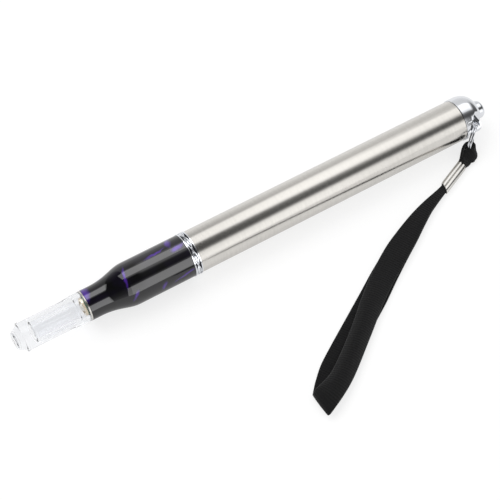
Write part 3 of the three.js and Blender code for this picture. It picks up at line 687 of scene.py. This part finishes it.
def steel_tube(name, start, end, outside, inside, node):
    piece = turned(name, [(start, inside), (start, outside, 0.15), (end, outside, 0.15), (end, inside),
                          (start, inside)])
    place(piece, "pen_body", "brushed_stainless", brushed_steel, node)


steel_tube("steel_rim", FOOT_END, SEAM, NECK_RADIUS, NOSE_BORE, "guide_rim")
steel_tube("steel_tube", TUBE_START, TUBE_END, TUBE_RADIUS, TUBE_BORE, "body_tube")
print("tube:", round(TUBE_END - TUBE_START, 1), "mm long")

# %% [markdown]
# ## Marbled resin nose
# The nose is cast from black and violet resin stirred together and then polished. The violet is a pearl
# pigment: it holds tiny mirror flakes, so it shines where the light is bright and goes dark where it isn't.
# That is why it is mixed in as a coloured metal under a clear coat, while the black ground stays plain. Each
# violet streak is a soft oval on the unrolled nose: its distance from the tip, its degrees round the pen, its
# lean in degrees, half its length and half its width. A slow noise stirs the ovals out of shape.

# %% Unroll the nose and stir the surface
NOSE_RADIUS, STIR_WIDTH, STIR_REACH = 8.1, 6.5, (5.0, 4.0, 0.0)
marbled, tree = new_finish("marbled_cast_resin")
spot = add_node(tree, "TexCoord")
drift = add_node(tree, "TexNoise", {"Vector": spot.outputs["Object"], "Scale": 1 / (STIR_WIDTH * MM),
                 "Detail": 2.0, "Roughness": 0.5})
axes = add_node(tree, "SeparateXYZ", {0: spot.outputs["Object"]})
lifted = add_node(tree, "Math", {0: axes.outputs["Z"], 1: AXIS_HEIGHT * MM}, operation="SUBTRACT")
turned_by = add_node(tree, "Math", {0: axes.outputs["Y"], 1: lifted}, operation="ARCTAN2")
arc_mm = add_node(tree, "Math", {0: turned_by, 1: NOSE_RADIUS}, operation="MULTIPLY")
long_mm = add_node(tree, "Math", {0: axes.outputs["X"], 1: 1 / MM, 2: -TIP}, operation="MULTIPLY_ADD")
unrolled = add_node(tree, "CombineXYZ", {"X": long_mm, "Y": arc_mm})
centred = add_node(tree, "VectorMath", {0: drift.outputs["Color"], 1: (0.5, 0.5, 0.5)},
                   operation="SUBTRACT")
stirred = add_node(tree, "VectorMath", {0: centred, 1: STIR_REACH, 2: unrolled}, operation="MULTIPLY_ADD")
print("resin stirred in swirls", STIR_WIDTH, "mm wide")

# %% Violet streaks
STREAKS = [(29.2, 15, 80, 7.5, 2.0), (57.5, 13, 4, 5.0, 0.6), (65.2, -3, 12, 3.8, 1.6),
           (63.5, 32, 80, 4.5, 1.5), (44.0, -8, 75, 6.0, 0.55), (55.0, -80, 65, 2.8, 1.1),
           (44.5, -70, 60, 3.0, 0.8), (63.5, -77, 15, 6.0, 0.8), (38.0, 60, 20, 6.0, 1.2),
           (51.0, 105, 50, 6.0, 1.8), (34.0, -150, 70, 5.0, 1.6), (61.0, 150, 30, 6.0, 1.6),
           (50.0, -140, 10, 5.0, 1.2)]
violet = None
for s, angle, lean, long, wide in STREAKS:
    oval = add_node(tree, "Mapping", {"Vector": stirred,
                    "Location": (s, math.radians(angle) * NOSE_RADIUS, 0),
                    "Rotation": (0, 0, math.radians(lean)), "Scale": (long, wide, 1)}, vector_type="TEXTURE")
    streak = add_node(tree, "TexGradient", {"Vector": oval}, gradient_type="SPHERICAL")
    if violet is None:
        violet = streak.outputs["Fac"]
    else:
        violet = add_node(tree, "Math", {0: violet, 1: streak.outputs["Fac"]}, operation="MAXIMUM")
print(len(STREAKS), "violet streaks laid on the nose")

# %% Pearl in black resin under a clear coat
edge = add_node(tree, "MapRange", {"Value": violet, "From Min": 0.0, "From Max": 0.85},
                interpolation_type="SMOOTHSTEP")
haze = add_node(tree, "MapRange", {"Value": drift, "From Min": 0.4, "From Max": 0.7})
deep = add_node(tree, "Mix", {"Factor": haze, 6: colour("030304"), 7: colour("0B0617")}, data_type="RGBA")
ground = add_node(tree, "Mix", {"Factor": edge, 6: deep.outputs[2], 7: colour("4A268E")}, data_type="RGBA")
pearl = add_node(tree, "Math", {0: edge, 1: 0.3}, operation="MULTIPLY")
resin_shader = add_node(tree, "BsdfPrincipled", {"Base Color": ground.outputs[2], "Metallic": pearl,
                        "Roughness": 0.3, "IOR": 1.5, "Specular IOR Level": 0.0, "Coat Weight": 1.0,
                        "Coat Roughness": 0.015, "Coat IOR": 1.6})
show(tree, resin_shader)
print("marbled resin takes", len(tree.nodes), "nodes")

# %% [markdown]
# ## Bottle shape of the nose
# The nose has a straight neck, a shoulder and a straight body. The shoulder could be an arc, but the real one
# swells late and then quickly, which one cubic curve with its four points gives. The nose is bored from
# behind for the bush that joins it to the tube.

# %% Turn the nose
NOSE_END, BUSH_RADIUS = 67.8, 6.75
NECK_END, SHOULDER = 31.5, 14.2
swell = [Vector(point) for point in (
    (NECK_END, NECK_RADIUS), (NECK_END + SHOULDER * 0.493, NECK_RADIUS + 0.05),
    (NECK_END + SHOULDER * 0.704, NOSE_RADIUS + 0.05), (NECK_END + SHOULDER, NOSE_RADIUS))]
shoulder = []
for k in range(33):
    t = k / 32
    point = (swell[0] * (1 - t) ** 3 + swell[1] * 3 * t * (1 - t) ** 2 + swell[2] * 3 * t * t * (1 - t)
             + swell[3] * t ** 3)
    shoulder.append((point.x, point.y))
nose = turned("marbled_nose", [(SEAM, NOSE_BORE), (SEAM, NECK_RADIUS, 0.12)] + shoulder
              + [(NOSE_END, NOSE_RADIUS, 0.12), (NOSE_END, BUSH_RADIUS), (61.9, BUSH_RADIUS), (61.9, 6.2),
                 (40.9, 6.2), (40.9, NOSE_BORE), (SEAM, NOSE_BORE)])
place(nose, "pen_body", "marbled_resin", marbled, "nose_barrel")
print("nose swells from", NECK_RADIUS * 2, "to", NOSE_RADIUS * 2, "mm across")

# %% [markdown]
# ## Braided trim ring
# Between nose and tube sits a plated ring with two wires that wind round each other, eight crossings in all.
# Each wire follows a sine along the pen and a cosine in height, a quarter turn apart, so one wire passes over
# the other wherever they meet. That is the same rule a jeweller follows when twisting two wires. The groove's
# floor gets a dark grey metal finish, painted shade of the narrow recess, which draws the wires' outline.

# %% Two crossing wires in a groove
RING_RADIUS, GROOVE = 8.3, 7.46
GROOVE_START, GROOVE_END = 68.3, 70.2
BRAID_MIDDLE, CROSSINGS, FIRST_CROSSING = 69.25, 8, math.radians(-25)
STRAND, STRAND_AT, STRAND_LIFT, STRAND_SWING = 0.21, 7.92, 0.14, 0.77
# The groove floor's dark grey tint is painted shade in the narrow groove.
groove_floor_shade = handled_metal("painted_shade_groove_floor", "46474D", 0.35, 0.5, 1.5)
bm = bmesh.new()
lathe(bm, soften([
    (NOSE_END, BUSH_RADIUS), (NOSE_END, RING_RADIUS, 0.14), (68.22, RING_RADIUS, 0.05),
    (GROOVE_START, GROOVE), (GROOVE_END, GROOVE), (70.28, RING_RADIUS, 0.05), (TUBE_START, RING_RADIUS, 0.14),
    (TUBE_START, BUSH_RADIUS), (NOSE_END, BUSH_RADIUS)]), 192)
for way in (1, -1):
    points = []
    for a in turns(360):
        phase = CROSSINGS / 2 * (a - FIRST_CROSSING)
        r = STRAND_AT + way * STRAND_LIFT * math.cos(phase)
        points.append(Vector((TIP + BRAID_MIDDLE - way * STRAND_SWING * math.sin(phase), r * math.sin(a),
                              AXIS_HEIGHT + r * math.cos(a))))
    loops = []
    for k, point in enumerate(points):
        ahead = (points[(k + 1) % len(points)] - points[k - 1]).normalized()
        up = (point - Vector((point.x, 0, AXIS_HEIGHT))).normalized()
        side = ahead.cross(up).normalized()
        up = side.cross(ahead)
        loops.append([point + side * (STRAND * math.cos(b)) + up * (STRAND * math.sin(b)) for b in turns(12)])
    skin(bm, loops, closed=True)
print("two wires cross", CROSSINGS, "times")

# %% [markdown]
# ## Pads of the braid
# Between two crossings the wires part and leave a lens-shaped gap. On the real ring a small plated pad stands
# in each gap, nearly as high as the wires. Each pad here is skinned from oval hoops that swell to its middle,
# with their lower halves sunk in the floor. At the end the floor's faces are picked out by their place and
# get the darker finish, which is painted shade on the groove's floor.

# %% Plated pads between the crossings
PAD_REACH, PAD_HALF_WIDE, PAD_HIGH = math.radians(18), 0.60, 0.74
for k in range(CROSSINGS):
    middle = FIRST_CROSSING + math.radians(360 / CROSSINGS * (k + 0.5))
    loops = []
    for j in range(17):
        reach = -1 + 2 * j / 16
        a = middle + reach * PAD_REACH
        fullness = math.sqrt(max(1 - reach * reach, 0.0004))
        up = Vector((0, math.sin(a), math.cos(a)))
        root = Vector((TIP + BRAID_MIDDLE, 0, AXIS_HEIGHT)) + up * GROOVE
        loops.append([root + Vector((PAD_HALF_WIDE * fullness * math.cos(b), 0, 0))
                      + up * (PAD_HIGH * fullness * math.sin(b)) for b in turns(14)])
    skin(bm, loops)
trim = place(finish_mesh(bm, "braided_ring", 35), "pen_body", "chrome_plate", chrome, "trim_ring")
# Second finish: the painted shade for the groove's floor.
trim.data.materials.append(groove_floor_shade)
for face in trim.data.polygons:
    middle = face.center / MM
    on_floor = abs(math.hypot(middle.y, middle.z - AXIS_HEIGHT) - GROOVE) < 0.03
    between_rims = GROOVE_START - 0.02 < middle.x - TIP < GROOVE_END + 0.02
    face.material_index = 1 if on_floor and between_rims else 0
print("trim ring:", len(trim.data.polygons), "faces")

# %% [markdown]
# ## Tail cap with its lanyard eye
# The cap is turned first and then milled: a slanting cut takes its side away, but leaves a thin web standing,
# and a hole is drilled through the web for the split ring. Booleans do the same jobs in the same order. The
# solids are exact. The cut's wall stays 1.55 mm clear of the hole's middle and opens 2.5 degrees wider than
# the split ring stands, so the ring has room. A small bevel at the end takes the sharpness off every new
# edge, as a file would. Its narrow faces would bend the shading of the wide ones beside them and make the
# chrome look dented, so a last modifier gives every wide face its own true normal.

# %% Turn the cap's blank
CAP_RADIUS, BLANK_END = 8.3, 194.1
DOME_START, DOME_LENGTH, DOME_FLAT, DOME_RISE = 188.2, 5.9, 4.4, 3.9
SHANK_END, SHANK, SEAL_GROOVE = 176.8, 7.15, 6.4
dome = []
for k in range(25):
    a = math.radians(90 * k / 24)
    dome.append((DOME_START + DOME_LENGTH * math.sin(a), DOME_FLAT + DOME_RISE * math.cos(a)))
cap = turned("plated_tail_cap", [
    (SHANK_END, 0), (SHANK_END, 6.85), (177.1, SHANK), (183.1, SHANK), (183.1, SEAL_GROOVE),
    (184.3, SEAL_GROOVE), (184.3, SHANK), (TUBE_END, SHANK), (TUBE_END, CAP_RADIUS, 0.15)]
    + dome + [(BLANK_END, 0)])


def prism(name, outline, low, high):
    bm = bmesh.new()
    skin(bm, [[(x, y, z) for x, y in outline] for z in (low, high)])
    return finish_mesh(bm, name)


def arc(x, y, radius, first, last, count):
    steps = [math.radians(first + (last - first) * k / count) for k in range(count + 1)]
    return [(x + radius * math.cos(a), y + radius * math.sin(a)) for a in steps]


def bake_modifiers(piece):
    fresh = bpy.data.meshes.new_from_object(piece.evaluated_get(bpy.context.evaluated_depsgraph_get()))
    piece.modifiers.clear()
    piece.data = fresh


def cut(piece, tool, how):
    step = piece.modifiers.new(how, "BOOLEAN")
    step.operation, step.object, step.solver = how, tool, "EXACT"
    bake_modifiers(piece)
    bpy.data.objects.remove(tool)


print("blank:", round(BLANK_END - SHANK_END, 1), "mm long")

# %% Mill, drill and bore it
EYE_BACK, EYE_OUT, EYE_ROUND, EYE_HOLE = 3.1, 6.0, 2.1, 1.4
NOTCH_FLOOR, NOTCH_OPENS, NOTCH_ROOM, OVERLAP = 4.2, 2.5, 1.55, 0.2
FAR_SIDE, PAST_END, HALF_WEB = 9.6, 96.5, 0.8
hole_x = BLANK_END - EYE_BACK + TIP
notch_lean = math.radians(SPLIT_DEGREES - 180 + NOTCH_OPENS)
wall_x = hole_x - (NOTCH_ROOM - (EYE_OUT - NOTCH_FLOOR) * math.cos(notch_lean)) / math.sin(notch_lean)
far_x = wall_x - (FAR_SIDE - NOTCH_FLOOR) / math.tan(notch_lean)
milled = [(far_x, -FAR_SIDE), (PAST_END, -FAR_SIDE), (PAST_END, -NOTCH_FLOOR), (wall_x, -NOTCH_FLOOR)]
web_root = -(NOTCH_FLOOR - OVERLAP)
web = [(87.2, web_root), (87.2, -8.05)] + arc(hole_x, -EYE_OUT, EYE_ROUND, 270, 360, 12)
web.append((hole_x + EYE_ROUND, web_root))
drill = arc(hole_x, -EYE_OUT, EYE_HOLE, 0, 360, 48)[:-1]
cut(cap, prism("milling_cutter", milled, -2, 19), "DIFFERENCE")
cut(cap, prism("standing_web", web, AXIS_HEIGHT - HALF_WEB, AXIS_HEIGHT + HALF_WEB), "UNION")
cut(cap, prism("eye_drill", drill, AXIS_HEIGHT - 4, AXIS_HEIGHT + 4), "DIFFERENCE")
cut(cap, turned("cap_bore", [(175.8, 0), (175.8, 5.9), (185.5, 5.9), (185.5, 4.9), (188.4, 4.9), (188.4, 3.6),
                             (196, 3.6), (196, 0)]), "DIFFERENCE")
print("cap has", len(cap.data.polygons), "faces after milling")

# %% Break the cap's edges
BEVEL, BEVEL_FROM = 0.07, 86.8
bm = bmesh.new()
bm.from_mesh(cap.data)
bmesh.ops.dissolve_degenerate(bm, dist=2e-6, edges=bm.edges)
bm.normal_update()
sharp = [e for e in bm.edges if len(e.link_faces) == 2 and e.calc_face_angle(0) > math.radians(30)
         and (e.verts[0].co.x + e.verts[1].co.x) / 2 > BEVEL_FROM * MM]
bmesh.ops.bevel(bm, geom=sharp, offset=BEVEL * MM, segments=2, profile=0.5, affect="EDGES",
                clamp_overlap=True)
for face in bm.faces:
    face.smooth = True
for edge in bm.edges:
    edge.smooth = len(edge.link_faces) != 2 or edge.calc_face_angle(0) < math.radians(32)
bm.to_mesh(cap.data)
bm.free()
cap.modifiers.new("true_to_wide_faces", "WEIGHTED_NORMAL").keep_sharp = True
bake_modifiers(cap)
cap.data.materials.clear()
place(cap, "cap_body", "chrome_plate", chrome, "tail_cap")
print(len(sharp), "sharp edges broken")

# %% [markdown]
# ## Thread of the cap and the push button
# The cap screws into the tube, so its shank carries a rolled thread, here a helical ridge with a pitch of
# 0.8 mm. It only shows when the cap is drawn off. The button is a plain turned plunger with a domed end.

# %% Helical thread
THREAD_START, PITCH, THREAD_TURNS, PER_TURN, RUN_OUT = 177.6, 0.8, 6, 72, 30
ROOT, CREST, THREAD_HEIGHT, HALF_RIDGE = 7.08, 7.1, 0.22, 0.3
loops = []
for k in range(THREAD_TURNS * PER_TURN + 1):
    a = 2 * math.pi * k / PER_TURN
    fade = min(1, k / RUN_OUT, (THREAD_TURNS * PER_TURN - k) / RUN_OUT)
    out = Vector((0, math.sin(a), math.cos(a)))
    root = Vector((THREAD_START + PITCH * k / PER_TURN + TIP, 0, AXIS_HEIGHT))
    loops.append([root + out * ROOT + Vector((-HALF_RIDGE, 0, 0)),
                  root + out * (CREST + THREAD_HEIGHT * fade),
                  root + out * ROOT + Vector((HALF_RIDGE, 0, 0))])
bm = bmesh.new()
skin(bm, loops)
place(finish_mesh(bm, "cap_thread", 30), "cap_body", "chrome_plate", chrome)
print("thread:", THREAD_TURNS, "turns of", PITCH, "mm")

# %% Domed button
BUTTON_RADIUS, CROWN_START, CROWN, BUTTON_TOP, PEN_END = 3.45, 195.9, 1.9, 1.3, 197.8
crown = []
for k in range(17):
    a = math.radians(90 * k / 16)
    crown.append((CROWN_START + CROWN * math.sin(a),
                  BUTTON_TOP + (BUTTON_RADIUS - BUTTON_TOP) * math.cos(a)))
button = turned("domed_button", [(187.1, 0), (187.1, 4.6, 0.1), (188.1, 4.6, 0.1), (188.1, BUTTON_RADIUS)]
                + crown + [(PEN_END, 0)], steps=96)
place(button, "button_body", "chrome_plate", chrome, "push_button")
print("button:", 2 * BUTTON_RADIUS, "mm across")

# %% [markdown]
# ## Finishes of the parts inside
# Nothing inside shows until the cap is drawn off, but a reader who opens the lamp should find real stuff
# there. The circuit boards have a green solder mask over a faint weave, the cells a plain satin sleeve, the
# plastic a fine moulded grain, and the rubber seal is duller than the plastic.

# %% Boards, cells, plastic and rubber
def grained(name, dark, light, grain_mm, rough, bump):
    finish, tree = new_finish(name)
    spot = add_node(tree, "TexCoord")
    grain = add_node(tree, "TexNoise", {"Vector": spot.outputs["Object"], "Scale": 1 / (grain_mm * MM),
                     "Detail": 3.0})
    tint = add_node(tree, "ValToRGB", {"Fac": grain}, stops=[(0.35, colour(dark)), (0.65, colour(light))])
    dents = add_node(tree, "Bump", {"Strength": bump, "Distance": 0.00003, "Height": grain})
    shader = add_node(tree, "BsdfPrincipled", {"Base Color": tint, "Roughness": rough, "Normal": dents})
    show(tree, shader)
    return finish


INSIDE = [
    (grained("solder_mask_on_fibreglass", "1F5B3A", "2A6E48", 0.6, 0.35, 0.2), "led_board", "driver_board"),
    (grained("moulded_black_acetal", "161617", "202022", 0.3, 0.45, 0.3),
     "contact_cup", "switch_body", "switch_plunger"),
    (grained("satin_printed_cell_sleeve", "8A8D92", "9A9DA2", 4.0, 0.32, 0.1), "cell_front", "cell_rear"),
    (grained("moulded_nitrile_rubber", "111111", "1B1B1B", 0.4, 0.7, 0.4), "cap_seal"),
    (turned_brass, "nose_bush", "front_contact", "switch_ring", "spring_plate"),
    (turned_aluminium, "heat_slug"),
    (enamelled_copper, "led_lead_left", "led_lead_right"),
    (drawn_steel, "cell_spring"),
]
for finish, *nodes in INSIDE:
    for node in nodes:
        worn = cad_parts[node].data.materials
        worn.clear()
        worn.append(finish)
print(sum(len(nodes) for _, *nodes in INSIDE), "inner parts finished")

# %% [markdown]
# ## Bench, light and surroundings
# Shiny metal shows the room more than itself, so the room has to be built with as much care as the pen. It
# stands in a light tent with one long opening: along the pen nothing changes, and across it a bright panel, a
# dark gap overhead and a second panel give the tube its bands. Only glossy rays see the tent. Everything
# matt is lit by an even sky and one soft lamp, so colours come out about as they are written. Each zone of
# the tent gives where it starts (the X of the ray's direction), over what stretch it comes in, and a row of
# brightness levels by degrees round the pen, from the horizon behind it, over the top, to the one in front.

# %% White bench
def ray_kinds(tree):
    ray = add_node(tree, "LightPath")
    straight = add_node(tree, "Math", {0: ray.outputs["Is Camera Ray"],
                        1: ray.outputs["Is Transmission Ray"]}, operation="MAXIMUM")
    off_metal = add_node(tree, "Math", {0: ray.outputs["Is Glossy Ray"], 1: straight}, operation="SUBTRACT",
                         use_clamp=True)
    return straight, off_metal


BACKDROP_LIFT, MIRRORED_LIFT, SPECKLE = 0.74, 0.46, 10 / 9
bench_paint, tree = new_finish("matt_white_bench")
straight, off_metal = ray_kinds(tree)
dust_at = add_node(tree, "TexCoord")
dust = add_node(tree, "TexNoise", {"Vector": dust_at.outputs["Object"], "Scale": 1 / (SPECKLE * MM),
                "Detail": 2.0})
dust_tint = add_node(tree, "ValToRGB", {"Fac": dust}, stops=[(0, colour("B6B6B6")), (1, colour("B9B9B9"))])
paint = add_node(tree, "Mix", {"Factor": straight, 6: dust_tint, 7: colour("929292")}, data_type="RGBA")
matt = add_node(tree, "BsdfDiffuse", {"Color": paint.outputs[2]})
backdrop = add_node(tree, "Math", {0: straight, 1: BACKDROP_LIFT}, operation="MULTIPLY")
mirrored = add_node(tree, "Math", {0: off_metal, 1: MIRRORED_LIFT, 2: backdrop}, operation="MULTIPLY_ADD")
lift = add_node(tree, "Emission", {"Color": (1, 1, 1, 1), "Strength": mirrored})
bench_sum = add_node(tree, "AddShader", {0: matt, 1: lift})
show(tree, bench_sum)

bm = bmesh.new()
bmesh.ops.create_grid(bm, x_segments=12, y_segments=12, size=3.0)
bench = finish_mesh(bm, "white_bench")
bench.location.z = -0.05 * MM
bench.data.materials.append(bench_paint)
print("bench lies", round(-bench.location.z / MM, 2), "mm under the lamp")

# %% Zones of the light tent
OVER_CAP = [(0, 0.86), (20, 0.78), (36, 0.74), (50, 0.78), (57, 1.38), (90, 1.30), (101, 0.90), (107, 0.30),
            (115, 0.12), (126, 0.08)]
ZONES = [
    (-1.0, 0.1, [(0, 0.70), (20, 0.35), (36, 0.15), (60, 0.07), (130, 0.07), (160, 0.25), (180, 0.60)]),
    (-0.13, 0.025, [(0, 0.88), (16, 0.74), (28, 0.55), (43, 0.48), (47, 1.24), (70, 1.33), (85, 1.33),
                    (89, 0.85), (93, 0.12), (97, 0.08), (126, 0.08), (132, 0.25), (136, 0.58), (141, 1.10),
                    (170, 1.35), (180, 1.24)]),
    (0.205, 0.025, [(0, 0.88), (20, 0.75), (33, 0.69), (38, 0.74), (45, 1.45), (70, 1.56), (84, 1.54),
                    (91, 1.42), (97, 0.48), (103, 0.18), (124, 0.12), (129, 0.18), (134, 0.54), (139, 1.18),
                    (146, 1.44), (172, 1.48), (180, 1.28)]),
    (0.400, 0.020, [(0, 0.88), (20, 0.78), (33, 0.76), (40, 0.92), (48, 1.30), (60, 1.46), (90, 1.38),
                    (97, 0.60), (104, 0.28), (115, 0.12), (124, 0.11), (130, 0.32), (136, 0.85), (143, 1.30),
                    (172, 1.30), (180, 1.10)]),
    (0.422, 0.006, OVER_CAP + [(140, 0.14), (150, 0.22), (160, 0.26), (170, 0.34), (180, 0.45)]),
    (0.465, 0.015, OVER_CAP + [(134, 0.14), (141, 0.70), (148, 1.30), (172, 1.35), (180, 1.10)]),
    (0.70, 0.20, [(0, 0.75), (20, 0.70), (36, 0.55), (45, 0.20), (130, 0.08), (160, 0.15), (180, 0.30)]),
]
print("tent has", len(ZONES), "zones along the pen")

# %% Light tent for glossy rays, even sky for the rest
sky = bpy.data.worlds.new("light_tent")
scene.world = sky
sky.use_nodes = True
tree = sky.node_tree
tree.nodes.clear()
towards = add_node(tree, "TexCoord")
split = add_node(tree, "SeparateXYZ", {0: towards.outputs["Generated"]})
round_pen = add_node(tree, "Math", {0: split.outputs["Z"], 1: split.outputs["Y"]}, operation="ARCTAN2")
half_turn = add_node(tree, "Math", {0: round_pen, 1: 1 / math.pi}, operation="MULTIPLY", use_clamp=True)
tent = None
for start, spread, table in ZONES:
    bands = add_node(tree, "ValToRGB", {"Fac": half_turn},
                     stops=[(degrees / 180, (level, level, level, 1)) for degrees, level in table])
    if tent is None:
        tent = bands
        continue
    into = add_node(tree, "MapRange", {"Value": split.outputs["X"], "From Min": start,
                    "From Max": start + spread}, interpolation_type="SMOOTHSTEP")
    tent = add_node(tree, "Mix", {"Factor": into, 6: tent, 7: bands}, data_type="RGBA").outputs[2]
straight, off_metal = ray_kinds(tree)
plain = add_node(tree, "Mix", {"Factor": straight, 6: (0.72, 0.72, 0.72, 1), 7: (1, 1, 1, 1)},
                 data_type="RGBA")
seen = add_node(tree, "Mix", {"Factor": off_metal, 6: plain.outputs[2], 7: tent}, data_type="RGBA")
glow = add_node(tree, "Background", {"Color": seen.outputs[2], "Strength": 1.0})
add_node(tree, "OutputWorld", {"Surface": glow})
print("tent takes", len(tree.nodes), "nodes")

# %% One soft lamp
lamp_data = bpy.data.lights.new("soft_panel", "AREA")
lamp_data.shape = "RECTANGLE"
lamp_data.size, lamp_data.size_y = 1.2, 0.8
lamp_data.energy = 6.0
lamp = bpy.data.objects.new("soft_panel", lamp_data)
scene.collection.objects.link(lamp)
lamp.location = (-0.3, 0.5, 1.0)
lamp.rotation_mode = "QUATERNION"
lamp.rotation_quaternion = (Vector((0, -0.02, 0)) - lamp.location).to_track_quat("-Z", "Y")
lamp.visible_glossy = False
print("lamp stands", round(lamp.location.length, 2), "m away")

# %% [markdown]
# ## Two strip lights for the resin
# Clear resin throws back only about a twentieth of what falls on it, so the even tent leaves it nearly black.
# A photographer brings two narrow lights close to the nose, and they show as the long grey stripes. Flags
# keep them off the steel: light linking does the same here, so that only the nose and the trim ring
# receive them.

# %% Strips close to the nose
flagged = bpy.data.collections.new("nose_receives_strips")
for shiny in (nose, trim):
    flagged.objects.link(shiny)
STRIPS_FROM, STRIPS_TO = -70, -9


def strip_light(name, edge_a, edge_b, level):
    a, b = Vector((0, *edge_a)), Vector((0, *edge_b))
    middle = (a + b) / 2 + Vector(((STRIPS_FROM + STRIPS_TO) / 2, 0, 0))
    data = bpy.data.lights.new(name, "AREA")
    data.shape = "RECTANGLE"
    data.size, data.size_y = (STRIPS_TO - STRIPS_FROM) * MM, (b - a).length * MM
    data.energy = level * math.pi * data.size * data.size_y
    strip = bpy.data.objects.new(name, data)
    scene.collection.objects.link(strip)
    along_pen, across_pen = Vector((1, 0, 0)), (b - a).normalized()
    facing = along_pen.cross(across_pen)
    if facing.dot(Vector((0, middle.y, middle.z - AXIS_HEIGHT))) < 0:
        along_pen, facing = -along_pen, -facing
    aimed = Matrix((along_pen, across_pen, facing)).transposed().to_4x4()
    strip.matrix_world = Matrix.Translation(middle * MM) @ aimed
    strip.visible_camera = strip.visible_diffuse = strip.visible_transmission = False
    strip.light_linking.receiver_collection = flagged


strip_light("strip_above", (33.4, 54.4), (4.0, 65.4), 2.1)
strip_light("strip_in_front", (-42.2, 48.1), (-57.2, 11.1), 1.75)
print("two strips stand 50 mm from the nose")
